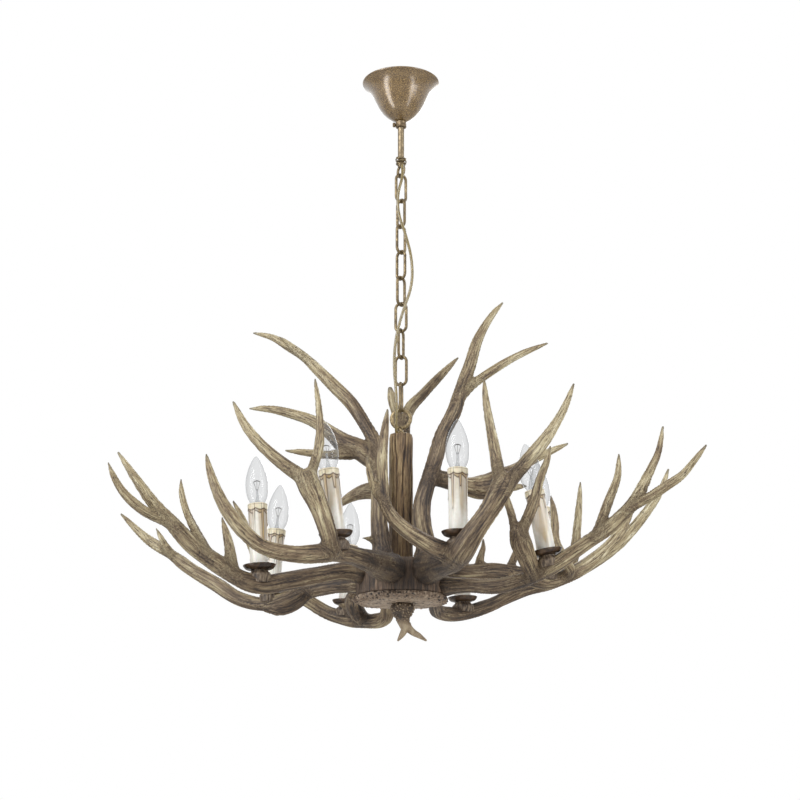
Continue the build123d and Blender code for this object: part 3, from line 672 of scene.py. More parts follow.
def smooth_line(stations, step):
    """Stations of x, y, z and girth joined by a smooth curve, sampled about every step."""
    p = np.array(stations, float)
    runs = np.linalg.norm(np.diff(p[:, :3], axis=0), axis=1)
    where = np.concatenate([[0], np.cumsum(runs)])
    slope = np.gradient(p, where, axis=0)
    rows = []
    for i, run in enumerate(runs):
        u = np.linspace(0, 1, max(2, int(round(run / step)) + 1))[:-1, None]
        rows.append(
            p[i] * (2 * u ** 3 - 3 * u ** 2 + 1) + slope[i] * run * (u ** 3 - 2 * u ** 2 + u)
            + p[i + 1] * (3 * u ** 2 - 2 * u ** 3) + slope[i + 1] * run * (u ** 3 - u ** 2)
        )
    rows.append(p[-1:])
    line = np.concatenate(rows)
    line[:, 3] = np.maximum(line[:, 3], p[:, 3].min() * 0.8)
    return line


def turning_frames(line):
    """Tangents and two cross directions that don't twist along a line."""
    run = np.gradient(line[:, :3], axis=0)
    run /= np.linalg.norm(run, axis=1)[:, None]
    across = np.zeros_like(run)
    start = np.array([0, 0, 1.0]) if abs(run[0, 2]) < 0.8 else np.array([1.0, 0, 0])
    for i, t in enumerate(run):
        start = start - t * start.dot(t)
        start = start / np.linalg.norm(start)
        across[i] = start
    return run, across, np.cross(run, across)


def lengths_along(line):
    """How far each point of a line is from its start."""
    return np.concatenate([[0], np.cumsum(np.linalg.norm(np.diff(line[:, :3], axis=0), axis=1))])


def tube(line, flats):
    """A round skin along a line of x, y, z and thickness."""
    line = np.asarray(line, float)
    run, across, side = turning_frames(line)
    turns = np.linspace(0, 2 * math.pi, flats, endpoint=False)
    rings = line[:, None, :3] + line[:, None, 3:4] / 2 * (
        across[:, None] * np.cos(turns)[None, :, None] + side[:, None] * np.sin(turns)[None, :, None]
    )
    return bridge(rings.tolist())


def wire_oval(length, width, wire, flats=16, steps=16, strands=0, twists=0):
    """A closed oval of wire standing in XZ, round the origin, with how high each vertex stands on its strands."""
    crown = (width - wire) / 2
    leg = (length - width) / 2
    centres = []
    for end, start in ((1, 0.0), (-1, math.pi)):
        for step in range(steps + 1):
            turn = start + math.pi * step / steps
            out = (math.cos(turn), math.sin(turn))
            if leg > 0 or step < steps:
                centres.append(((out[0] * crown, out[1] * crown + end * leg), out))
        if leg > 0:
            low = centres[-1][0]
            for part in (0.25, 0.5, 0.75):
                out = (-1.0 if end == 1 else 1.0, 0.0)
                centres.append(((low[0], low[1] - end * 2 * leg * part), out))
    rings, ridge = [], []
    for i, ((x, z), out) in enumerate(centres):
        ring = []
        for t, c, s in circle(flats):
            high = math.cos(strands * t + twists * 2 * math.pi * i / len(centres)) if strands else 0.0
            r = wire / 2 * (1 - STRAND_DEPTH * (1 - abs(high)) if strands else 1)
            ring.append((x + out[0] * r * c, r * s, z + out[1] * r * c))
            ridge.append(abs(high) if strands else 0.5)
        rings.append(ring)
    return bridge(rings, endless=True), ridge


def fused(name, forms, voxel):
    """One closed mesh from overlapping forms."""
    verts, faces = join_forms(*forms)
    mesh = bpy.data.meshes.new(name + "_rough")
    mesh.from_pydata(verts, [], faces)
    rough = bpy.data.objects.new(name + "_rough", mesh)
    bpy.context.scene.collection.objects.link(rough)
    modifier = rough.modifiers.new("fuse", "REMESH")
    modifier.mode = "VOXEL"
    modifier.voxel_size = voxel
    bpy.context.view_layer.update()
    whole = bpy.data.meshes.new_from_object(rough.evaluated_get(bpy.context.evaluated_depsgraph_get()))
    whole.name = name
    bpy.data.objects.remove(rough)
    bpy.data.meshes.remove(mesh)
    return whole


def numbers_of(items, field, width, kind=float):
    """A field of a mesh's vertices or edges as rows of numbers."""
    flat = np.empty(len(items) * width, kind)
    items.foreach_get(field, flat)
    return flat.reshape(-1, width)


def reshape(mesh, points):
    """Puts a mesh's vertices at new points."""
    mesh.vertices.foreach_set("co", points.ravel())
    mesh.update()


def relax(points, edges, amount, rounds):
    """Moves each point towards the middle of its neighbours by its own amount."""
    count = np.bincount(edges.ravel(), minlength=len(points))[:, None]
    for _ in range(rounds):
        total = np.zeros_like(points)
        for axis in range(3):
            total[:, axis] = (
                np.bincount(edges[:, 0], points[edges[:, 1], axis], len(points))
                + np.bincount(edges[:, 1], points[edges[:, 0], axis], len(points))
            )
        points = points + (total / np.maximum(count, 1) - points) * amount[:, None]
    return points


def pearls(points, size, seed=0.0):
    """For each point, 1 on top of a swelling of about the size and 0 in the valleys between."""
    out = np.empty(len(points))
    for i, (x, y, z) in enumerate(points):
        near, _ = noise.voronoi((x / size + seed, y / size + seed, z / size + seed))
        out[i] = min(1.0, (near[1] - near[0]) * 1.6)
    return out


# ------------------------------------------------------------------ antlers
def limb_stations(name):
    """The beam's and tines' stations of an antler in metres, its butt first."""
    if name in SIDE_ANTLERS:
        antler = SIDE_ANTLERS[name]
        bearing, height, girth = antler["butt"]
        c, s = math.cos(math.radians(bearing)), math.sin(math.radians(bearing))
        radius = HUB_RADIUS * 1000
        butt = [((radius + out) * c, (radius + out) * s, height, girth * swell) for out, swell in WALL_SWELL]
    else:
        antler = UPRIGHT_ANTLERS[name]
        x, y, girth = antler["butt"]
        top = HUB_HEIGHT * 500
        butt = [(x, y, top + up, girth * swell) for up, swell in TOP_SWELL]
    limbs = [butt + antler["beam"]] + antler["tines"]
    return [[(x / 1000, y / 1000, z / 1000 + HUB_MIDDLE, girth / 1000) for x, y, z, girth in limb] for limb in limbs]


def limb_places(points, lines, starts):
    """For each limb: how near each point is, its place across and along the limb, and how far to the end."""
    chunk = 8000
    blunt_reach = 0.25
    near, across, along, end = [], [], [], []
    for line, start in zip(lines, starts):
        run, first, second = turning_frames(line)
        lengths = lengths_along(line)
        best = np.empty(len(points), int)
        for low in range(0, len(points), chunk):
            gap = ((points[low:low + chunk, None] - line[None, :, :3]) ** 2).sum(2)
            best[low:low + chunk] = gap.argmin(1)
        off = points - line[best, :3]
        step, a, b = (np.einsum("ij,ij->i", off, way[best]) for way in (run, first, second))
        past = np.where((best == 0) | (best == len(line) - 1), np.abs(step), 0)
        radius = line[best, 3] / 2
        near.append((np.sqrt(a ** 2 + b ** 2 + past ** 2) - radius) / np.maximum(radius, LIMB_LEAST))
        across.append(np.stack([a, b], 1))
        along.append(start + lengths[best] + step)
        end.append(lengths[-1] - lengths[best] - step + (blunt_reach if line[-1, 3] > BLUNT_END else 0.0))
    return np.array(near), np.array(across), np.array(along), np.array(end)


def groove_height(ways, along, weight, seed, limb):
    """How high the grooved skin of a limb stands at each point that belongs to it."""
    value = np.zeros(len(along))
    for k in np.nonzero(weight > 0.02)[0]:
        x, y, s = ways[k, 0], ways[k, 1], along[k]
        for across_scale, shift, along_scale, share in GROOVES:
            where = (x * across_scale + seed + shift, y * across_scale + limb * 7, s * along_scale)
            value[k] += share * abs(noise.noise(where))
    return value


def antler_mesh(name, seed, voxel, groove):
    """An antler fused from its limbs, eased at the forks and grooved along each limb."""
    lines = [smooth_line(limb, LIMB_STEP) for limb in limb_stations(name)]
    beam = lines[0]
    beam_lengths = lengths_along(beam)
    starts = [0.0]
    for line in lines[1:]:
        starts.append(float(beam_lengths[((beam[:, :3] - line[0, :3]) ** 2).sum(1).argmin()]))
    for i, line in enumerate(lines):
        swell = np.array([noise.noise((p[0] * 28, p[1] * 28, seed * 3.1 + i)) for p in line])
        line[:, 3] *= 1 + 0.09 * swell
    mesh = fused(name + "_grooved", [tube(line, 20) for line in lines], voxel)
    points = numbers_of(mesh.vertices, "co", 3)
    near, across, along, end = limb_places(points, lines, starts)
    # A point near two limbs at once lies in a fork
    order = np.sort(near, axis=0)
    fork = np.clip(1.6 - order[1] * 0.75, 0, 1) if len(lines) > 1 else np.zeros(len(points))
    points = relax(points, numbers_of(mesh.edges, "vertices", 2, int), 0.12 + 0.8 * fork, 14)
    weight = np.exp(-5 * np.maximum(near - near.min(0), 0))
    weight /= weight.sum(0)
    ridge = np.zeros(len(points))
    grain = np.zeros((len(points), 3))
    for i in range(len(lines)):
        ways = across[i] / np.maximum(np.linalg.norm(across[i], axis=1), 1e-6)[:, None]
        ridge += weight[i] * groove_height(ways, along[i], weight[i], seed, i)
        grain += weight[i][:, None] * np.column_stack([across[i] + 0.05 * i + seed * 0.11, along[i] * 0.06])
    to_end = (weight * end).sum(0)
    hub_gap = np.linalg.norm(points - np.array([0, 0, HUB_MIDDLE]), axis=1)
    # The grooves run out towards the tips, and the tips are a little plumper than their stations
    fade = np.clip((to_end - 0.004) / 0.12, 0, 1) ** 0.8
    plump = 0.0011 * np.clip(to_end / 0.02, 0, 1)
    height = np.clip(ridge, 0, 1.5) / 1.5
    reshape(mesh, points)
    normals = numbers_of(mesh.vertex_normals, "vector", 3)
    reshape(mesh, points + normals * ((height - 0.5) * groove * (0.18 + 0.82 * fade) + plump)[:, None])
    mesh.polygons.foreach_set("use_smooth", [True] * len(mesh.polygons))
    mark(mesh, "ridge", height * (0.35 + 0.65 * fade) + 0.5 * (1 - fade) * 0.65)
    mark(mesh, "reach", np.clip((hub_gap - 0.07) / 0.42, 0, 1) * 0.6 + np.clip(1 - to_end / 0.3, 0, 1) * 0.4)
    mark(mesh, "knot", np.clip(fork * 0.9 + np.clip(1 - (hub_gap - HUB_RADIUS) / 0.05, 0, 1), 0, 1))
    mark(mesh, "tip", np.clip(1 - to_end / 0.014, 0, 1))
    mesh.attributes.new("grain", "FLOAT_VECTOR", "POINT").data.foreach_set("vector", grain.astype(np.float32).ravel())
    return mesh


# ------------------------------------------------------------------ candles
def seat_station(carrier):
    """The station of the carrying antler's beam that the candle stands on."""
    antler = SIDE_ANTLERS[carrier]
    return antler["beam"][antler["seat"]]


def candle_place(carrier, lean):
    """The top of the carrying antler at its seat, leaning as the candle does."""
    x, y, z, girth = seat_station(carrier)
    where = Vector((x / 1000, y / 1000, (z + girth / 2) / 1000 + HUB_MIDDLE))
    return Matrix.Translation(where) @ Matrix.Rotation(math.radians(lean), 4, "Y")


def burr_seat(seed, foot, head, height, depth):
    """A low flared burr with rough fibres, standing on z = 0 and let into the antler by its depth."""
    outline = [(foot * 0.88, -depth), (foot, -0.001), (foot * 0.97, 0.002), (head, height * 0.75), (head, height)]
    outline = rounded(outline, 2)
    rings, ridge = [], []
    for row, (radius, z) in enumerate(outline, start=1):
        fade = 0.0 if row == len(outline) else 1.0
        ring = []
        for _, c, s in circle(72):
            rough = noise.noise((c * 6 + seed, s * 6, z * 120)) + 0.7 * noise.noise((c * 15, s * 15 + seed, z * 200))
            r = radius * (1 + 0.07 * rough * fade)
            ring.append((r * c, r * s, z))
            ridge.append(min(1, max(0, 0.5 + rough * 0.8)))
        rings.append(ring)
    return bridge(rings), ridge


def wax_sleeve(seed, radius, wall, low, length, gold):
    """A moulded candle with a wax collar, drips and a line of painted shade under the rim. Gives the form and its
    colour values.
    """
    waves = 7
    around, count = 150, 150
    line_width = 0.0009
    high = low + length
    thetas = np.linspace(0, 2 * math.pi, around, endpoint=False)
    rng = np.random.default_rng(seed)
    phase = rng.uniform(0, 2 * math.pi)
    collar = high - 0.0088 - 0.0026 * np.abs(np.sin(waves * (thetas + phase) / 2)) ** 0.8
    drips = []
    for i in range(waves):
        centre = phase + 2 * math.pi * i / waves + rng.uniform(-0.12, 0.12)
        half = rng.uniform(0.11, 0.18)
        drips.append((centre, half, rng.uniform(0.012, 0.052)))
    edge = collar - 0.0055 + 0.002 * np.abs(np.cos(waves * (thetas + phase) / 2))
    beads = np.zeros((count, around))
    share = np.linspace(0, 1, count)
    z = (low + (high - 0.0012 - low) * (1 - (1 - share) ** 1.35))[:, None]
    for centre, half, fall in drips:
        off = turn_gap(thetas, centre) / half
        bottom = high - 0.016 - fall
        edge = np.minimum(edge, np.where(off < 1.3, bottom + (fall + 0.004) * np.clip(off, 0, 1.3) ** 5, 1.0))
        beads += np.exp(-((z - bottom - 0.0022) / 0.0022) ** 2 - (off[None] / 0.8) ** 2)
    spacing = radius * 2 * math.pi / around

    def covered(line):
        """Where the wax lies above a line, and the line itself."""
        slope = np.gradient(np.concatenate([line[-1:], line, line[:1]]), spacing)[1:-1]
        gap = (z - line[None]) / np.sqrt(1 + slope[None] ** 2)
        return np.clip(gap / line_width + 0.5, 0, 1), np.exp(-(gap / line_width) ** 2)

    skin, skin_line = covered(edge)
    band, collar_line_and_rim_shade = covered(collar)
    thick = 0.0005 * skin + 0.0008 * band + 0.0006 * np.clip(beads, 0, 1) * skin
    reach = np.array([noise.noise((c * 1.3 + seed * 3.1, s * 1.3, seed * 1.7)) for _, c, s in circle(around)])
    reach = np.clip(0.5 + 0.9 * reach, 0, 1)[None]
    fade = np.clip((z - (high - 0.03 - 0.085 * reach)) / 0.03, 0, 1)
    wash = gold * fade ** 1.2 * (1 - band) * (0.36 + 0.6 * reach + 0.5 * skin)
    # The dark line 2.4 mm under the rim is painted shade, standing for the gap under the lip
    collar_line_and_rim_shade = np.maximum(collar_line_and_rim_shade, 0.55 * np.exp(-((z - high + 0.0024) / 0.0005) ** 2))
    line = np.clip(skin_line * (0.45 + 0.55 * np.clip((z - high + 0.07) / 0.05, 0, 1)) + collar_line_and_rim_shade, 0, 1)
    rows = [(radius + thick[i], z[i, 0]) for i in range(count)]
    values = {"band": [band], "gold": [wash], "line": [line * (z > low + 0.002)]}
    # The rim and the bore: radius, height, and whether it has the collar's cream
    for r, height, cream in (
        (radius + 0.0006, high - 0.0003, 1), (radius - 0.0003, high, 1), (radius - wall, high - 0.0004, 1),
        (radius - wall, high - 0.012, 0), (radius - wall, low, 0),
    ):
        rows.append((r, height))
        for name, number in (("band", float(cream)), ("gold", 0.0), ("line", 0.0)):
            values[name].append(np.full((1, around), number))
    rings = [np.column_stack([r * np.cos(thetas), r * np.sin(thetas), np.full(around, height)]) for r, height in rows]
    form = bridge([r.tolist() for r in rings], endless=True)
    return form, {k: np.concatenate(v).ravel() for k, v in values.items()}


def bulb_forms(base, girth, length, cap_radius, cap_length):
    """The glass flame, its mount, its wires and its screw cap, standing on z = base."""
    coil_steps, coil_radius, coil_half, coil_rise = 60, 0.0009, 0.0052, 0.0022
    flame = turned([(girth / 2 * r, base + length * u) for u, r in rounded(FLAME, 1)], 64)
    stem_top = base + length * 0.3
    top = base + length * 0.47
    mount = [
        (girth * 0.2, base), (girth * 0.1, base + 0.006), (0.0022, base + 0.012), (0.0017, stem_top),
        (0.0024, stem_top + 0.0015), (0.001, stem_top + 0.003),
    ]
    wires = []
    for side in (-1, 1):
        leg = [(0.0012, stem_top), (0.0030, stem_top + 0.007), (coil_half, top)]
        wires.append(tube([(side * x, 0, z, 0.0007) for x, z in leg], 8))
    coil = []
    for i in range(coil_steps + 1):
        turn, share = i * 1.9, i / coil_steps
        z = top + coil_radius * math.sin(turn) + coil_rise * math.sin(math.pi * share)
        coil.append((-coil_half + 2 * coil_half * share, coil_radius * math.cos(turn), z, 0.0004))
    wires.append(tube(coil, 6))
    wires.append(tube([(0, 0, stem_top, 0.0006), (0, 0, top + 0.0016, 0.0006)], 6))
    cap = [(cap_radius * 0.5, base - cap_length), (cap_radius * 0.62, base - cap_length + 0.0015)]
    for i in range(6):
        z = base - cap_length + 0.003 + 0.0026 * i
        cap += [(cap_radius * 0.9, z), (cap_radius, z + 0.0013)]
    cap += [(cap_radius * 0.93, base - 0.002), (cap_radius, base)]
    return flame, turned(mount, 20), join_forms(*wires), turned(cap, 32)


# ------------------------------------------------------------------ the user's sizes and colours
def metres(name, description, default, least=-10.0):
    """A size the user can set, in metres."""
    return bpy.props.FloatProperty(name=name, description=description, default=default, min=least, subtype="DISTANCE")


def amount(name, description, default, least=0.0, most=1000.0, **settings):
    """Any other number the user can set."""
    return bpy.props.FloatProperty(
        name=name, description=description, default=default, min=least, max=most, **settings)


class ChandelierStage(bpy.types.PropertyGroup):
    camera_distance: metres("Camera distance", "From the chain to the camera", 2.72, 0.5)
    camera_height: metres("Camera height", "Height of the camera over the ceiling", -1.33)
    camera_tilt: amount("Camera tilt", "How far the camera looks up", math.radians(15.5), -math.pi, subtype="ANGLE")
    lens: amount("Lens", "Focal length in millimetres on a 36 mm sensor", 76.5, 10)
    floor_drop: metres("Floor drop", "Ceiling to floor", 2.4, 1.0)
    light: amount("Room light", "Strength of the even light from the room", 0.62)


class ChandelierAntlers(bpy.types.PropertyGroup):
    voxel: metres("Mesh size", "Size of the antlers' mesh squares", 0.0018, 0.0005)
    groove: metres("Groove depth", "Depth of the long grooves in the antlers", 0.0026, 0)


class ChandelierCord(bpy.types.PropertyGroup):
    diameter: metres("Cord diameter", "Outside diameter of the supply cord", 0.005, 0.001)


class ChandelierChain(bpy.types.PropertyGroup):
    wire: metres("Link wire", "Thickness of the links' wire", 0.005, 0.001)
    ring_wire: metres("Ring wire", "Thickness of the rope ring", 0.007, 0.001)
    turns: bpy.props.IntProperty(
        name="Wire turns", description="Turns of thin wire wound round the eye's socket", default=5, min=1)


class ChandelierColumn(bpy.types.PropertyGroup):
    groove: metres("Bark groove", "Depth of the column's long grooves", 0.0032, 0)
    scallops: bpy.props.IntProperty(
        name="Scallops", description="Scallops round the plate under the hub", default=19, min=3)


class ChandelierCandles(bpy.types.PropertyGroup):
    seat_height: metres("Seat height", "From the antler's top to the drip tray", 0.008)
    tray_diameter: metres("Tray diameter", "Across the drip tray's rim", 0.052, 0.03)
    sleeve_diameter: metres("Sleeve diameter", "Across the candle sleeve", 0.029, 0.02)
    sleeve_length: metres("Sleeve length", "Height of the candle sleeve", 0.104, 0.03)
    bulb_diameter: metres("Bulb diameter", "Across the glass flame", 0.037, 0.02)
    bulb_length: metres("Bulb length", "Height of the glass flame", 0.079, 0.03)
    gold: amount("Gold wash", "Strength of the brushed gold on the sleeves", 0.85, 0, 1)


# ------------------------------------------------------------------ operators
def room_light(strength):
    """An even white room, seen at full brightness by the camera, in sheens and through glass."""
    world = bpy.data.worlds.new("room")
    world.use_nodes = True
    tree = world.node_tree
    even = tree.nodes["Background"]
    even.inputs["Strength"].default_value = strength
    seen = tree.nodes.new("ShaderNodeBackground")
    rays = tree.nodes.new("ShaderNodeLightPath")
    blend = tree.nodes.new("ShaderNodeMixShader")
    factor = rays.outputs["Is Camera Ray"]
    for other in ("Is Glossy Ray", "Is Transmission Ray"):
        either = tree.nodes.new("ShaderNodeMath")
        either.operation = "MAXIMUM"
        tree.links.new(factor, either.inputs[0])
        tree.links.new(rays.outputs[other], either.inputs[1])
        factor = either.outputs[0]
    for source, socket in zip((factor, even.outputs[0], seen.outputs[0]), blend.inputs):
        tree.links.new(source, socket)
    tree.links.new(blend.outputs[0], tree.nodes["World Output"].inputs["Surface"])
    for background in (even, seen):
        background.inputs["Color"].default_value = (1, 1, 1, 1)
    return world


def add_lamp(name, where, size, power, target, sheen_only):
    """A rectangular studio lamp that points at a target."""
    lamp = bpy.data.lights.new(name, "AREA")
    lamp.shape = "RECTANGLE"
    lamp.size, lamp.size_y = size
    lamp.energy = power
    holder = bpy.data.objects.new(name, lamp)
    holder.location = where
    holder.rotation_euler = (Vector(target) - Vector(where)).to_track_quat("-Z", "Y").to_euler()
    holder.visible_diffuse = not sheen_only
    bpy.context.scene.collection.objects.link(holder)


class CHANDELIER_OT_stage(bpy.types.Operator):
    """Set up the camera, the floor, the backdrop and the studio lamps"""
    bl_idname = "chandelier.stage"
    bl_label = "Stage"

    def execute(self, context):
        scene = context.scene
        sizes = scene.chandelier_stage
        scene.view_settings.view_transform = "Standard"
        data = bpy.data.cameras.new("camera")
        data.lens = sizes.lens
        data.sensor_width = SENSOR_WIDTH
        data.shift_x = LENS_SHIFT
        data.clip_end = 60
        camera = bpy.data.objects.new("camera", data)
        camera.location = (0, -sizes.camera_distance, sizes.camera_height)
        camera.rotation_euler = (math.pi / 2 + sizes.camera_tilt, 0, 0)
        scene.collection.objects.link(camera)
        scene.camera = camera

        low = -sizes.floor_drop
        mesh = bpy.data.meshes.new("floor")
        corners = [(x * FLOOR_HALF, y * FLOOR_HALF, low) for x, y in ((-1, -1), (1, -1), (1, 1), (-1, 1))]
        mesh.from_pydata(corners, [], [(0, 1, 2, 3)])
        mesh.materials.append(Finish("floor", "#f2f1ee", 0.8).material)
        floor = bpy.data.objects.new("floor", mesh)
        scene.collection.objects.link(floor)

        scene.world = room_light(sizes.light)
        for lamp in LAMPS:
            add_lamp(*lamp)
        return {"FINISHED"}


class CHANDELIER_OT_supply_cord(bpy.types.Operator):
    """Hang the supply cord beside and through the chain"""
    bl_idname = "chandelier.supply_cord"
    bl_label = "Supply cord"

    def execute(self, context):
        diameter = context.scene.chandelier_cord.diameter
        data = bpy.data.curves.new("supply_cord", "CURVE")
        data.dimensions = "3D"
        data.bevel_depth = diameter / 2
        data.bevel_resolution = 4
        data.resolution_u = 10
        data.use_fill_caps = True
        spline = data.splines.new("NURBS")
        spline.points.add(len(CORD_ROUTE) - 1)
        for point, where in zip(spline.points, CORD_ROUTE):
            point.co = (*where, 1)
        spline.order_u = 3
        spline.use_endpoint_u = True
        f = Finish("cord sheath", "#8f7a3c", 0.25)
        wrap = f.grain(f.place((1, 1, 0.3)), 900, 3)
        f.set("Base Color", f.ramp(wrap, (0.35, "#54461d"), (0.6, "#8c7a44")))
        f.set("Coat Weight", 0.5)
        f.relief(wrap, 0.0002, 0.5)
        piece = add_piece("supply_cord_sheath", data, "pendant", f.material, ["supply_cord"])
        return {"FINISHED"}


class CHANDELIER_OT_inner_parts(bpy.types.Operator):
    """Finish the parts that keep their CAD shape"""
    bl_idname = "chandelier.inner_parts"
    bl_label = "Inner parts"

    def execute(self, context):
        zinc = simple("zinc plate", "#8f8e88", "#b5b3ab", 0.35, 1.0)
        cream = simple("cream moulding", "#dcd9cf", "#e6e3da", 0.45)
        bronze = aged_bronze("stem bronze", "#43382a", "#85755a", "#bfb08e")
        looks = {
            "ceiling_bracket": zinc, "stem_nut": zinc, "column_rod": zinc, "hub_nut": zinc, "antler_screws": zinc,
            "terminal_block": cream, "stem": bronze,
        }
        for name, look in looks.items():
            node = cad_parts[name]
            node.data.materials.clear()
            node.data.materials.append(look)
        return {"FINISHED"}


def knurled_head(outline, ribs, depth):
    """A turned head with ribs round its edge."""
    rings = []
    for radius, z in outline:
        ring = []
        for t, c, s in circle(60):
            r = radius * (1 + depth * math.cos(ribs * t))
            ring.append((r * c, r * s, z))
        rings.append(ring)
    return bridge(rings)


class CHANDELIER_OT_canopy(bpy.types.Operator):
    """Turn the bell canopy, its collar and the thumb screw"""
    bl_idname = "chandelier.canopy"
    bl_label = "Canopy"

    def execute(self, context):
        bore, sheet = 0.0062, 0.0015
        outer = rounded(in_metres(BELL), 2)
        inner = [(max(r - sheet, bore), min(z + 0.0014, -0.0004)) for r, z in outer[1:]]
        bell = turned([*outer, *inner[::-1]], 128, endless=True)
        make_piece("canopy_bell", bell, "canopy", speckled_bronze(), ["canopy"], crease=60)
        collar = turned(in_metres(rounded(COLLAR, 1), BELL_FOOT), 48, endless=True)
        dark = aged_bronze("collar bronze", "#3a2f20", "#77654a", "#ab9975")
        make_piece("collar_turned", collar, "canopy", dark, ["canopy_collar"])
        low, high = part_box("grub_screw")
        shank = turned([(0.0018, -0.003), (0.0018, 0.002), (0.002, 0.002)], 20)
        head = [(0.0015, 0.0), (0.0034, 0.0), (0.0041, 0.0014), (0.0041, 0.0036), (0.0034, 0.0049), (0.0004, 0.0052)]
        head = knurled_head(rounded(head, 2), 10, 0.06)
        place = Matrix.Translation((-0.0095, 0, (low[2] + high[2]) / 2)) @ Matrix.Rotation(math.radians(-90), 4, "Y")
        screw = moved(join_forms(shank, head), place)
        make_piece("thumb_screw", screw, "canopy", dark, ["grub_screw"])
        return {"FINISHED"}


def wire_turn(number, low):
    """One loose turn of thin wire round the eye's socket."""
    tilt = 0.0024 * math.sin(number * 2.1)
    rings = []
    for k, (t, c, s) in enumerate(circle(40)):
        wobble = noise.noise((number * 3.7, k * 0.5, 1.3))
        r = 0.0079 + 0.0009 * math.sin(number * 1.7 + t) + 0.0004 * wobble
        z = low + 0.0026 * number + tilt * math.cos(t + number)
        rings.append([
            (r * c + c * TIE_RADIUS * out, r * s + s * TIE_RADIUS * out, z + TIE_RADIUS * up)
            for _, out, up in circle(8)
        ])
    return bridge(rings, endless=True)


def rope_stem(low, high):
    """The rope ring's twisted stem, with how high each vertex stands on its strands."""
    rows = 26
    rings, ridge = [], []
    for i in range(rows + 1):
        share = i / rows
        waist = 0.0058 - 0.0018 * math.sin(math.pi * min(share * 0.9, 1)) ** 0.8
        ring = []
        for t, c, s in circle(24):
            bump = abs(math.cos(1.5 * t + 5.5 * share))
            r = waist * (1 - STRAND_DEPTH + STRAND_DEPTH * bump)
            ring.append((r * c, r * s, low + (high - low) * share))
            ridge.append(bump)
        rings.append(ring)
    return bridge(rings), ridge


def notched_flange(low):
    """The flange under the rope ring, with the notch that the supply cord passes."""
    notch, half_notch, notch_floor = math.atan2(-0.8, -0.6), 0.42, 0.0078
    rings = []
    for radius, z in ((0.0105, 0.0), (0.011, 0.0005), (0.011, 0.0022), (0.0102, 0.003), (0.0045, 0.0034)):
        ring = []
        for t, c, s in circle(48):
            r = radius if turn_gap(t, notch) > half_notch else min(radius, notch_floor)
            ring.append((r * c, r * s, low + z))
        rings.append(ring)
    return bridge(rings)


def hung(height, degrees):
    """A place on the chain's line, turned about it."""
    return Matrix.Translation((0, 0, height)) @ Matrix.Rotation(math.radians(degrees), 4, "Z")


class CHANDELIER_OT_chain(bpy.types.Operator):
    """Bend the top eye, the nine links and the rope ring"""
    bl_idname = "chandelier.chain"
    bl_label = "Chain"

    def execute(self, context):
        sizes = context.scene.chandelier_chain
        bronze = aged_bronze("chain bronze", "#362c1f", "#77674a", "#b9a984")
        low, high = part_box("top_loop")
        form, _ = wire_oval(EYE_WIDTH, EYE_WIDTH, sizes.wire, steps=26)
        eye = moved(form, hung(low[2] + EYE_WIDTH / 2, LINK_TURNS[0] - 90))
        foot, top = low[2] + EYE_WIDTH - sizes.wire, high[2]
        socket = [
            (0.0045, foot - 0.001), (0.0066, foot + 0.002), (0.007, foot + 0.006), (0.0062, top - 0.003),
            (0.0064, top),
        ]
        form = join_forms(eye, turned(rounded(socket, 2), 40))
        make_piece("top_eye", form, "ceiling_mount", bronze, ["top_loop"])
        tie = aged_bronze("tie wire", "#33291c", "#75664a", "#b5a580")
        form = join_forms(*(wire_turn(i, foot + 0.0055) for i in range(sizes.turns)))
        make_piece("eye_wire_turns", form, "ceiling_mount", tie)

        for number, degrees in enumerate(LINK_TURNS, start=1):
            low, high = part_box(f"chain_link_{number}")
            form, _ = wire_oval(high[2] - low[2], LINK_WIDTH, sizes.wire, steps=18)
            form = moved(form, hung((low[2] + high[2]) / 2, degrees))
            body = "upper_link" if number == 1 else "pendant"
            make_piece(f"link_{number}_bent", form, body, bronze, [f"chain_link_{number}"])

        low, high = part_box("column_ring")
        form, ridge = wire_oval(RING_WIDTH, RING_WIDTH, sizes.ring_wire, flats=24, steps=48, strands=3, twists=11)
        ring = moved(form, hung(high[2] - RING_WIDTH / 2, LINK_TURNS[-1] - 90))
        stem, stem_ridge = rope_stem(low[2] + 0.003, high[2] - RING_WIDTH + sizes.ring_wire * 0.7)
        flange = notched_flange(low[2])
        ridge = [*ridge, *stem_ridge, *[0.4] * len(flange[0])]
        rope = aged_bronze("rope bronze", "#1e160e", "#54462f", "#a08e6a")
        form = join_forms(ring, stem, flange)
        make_piece("rope_ring", form, "pendant", rope, ["column_ring"], {"ridge": ridge})
        return {"FINISHED"}


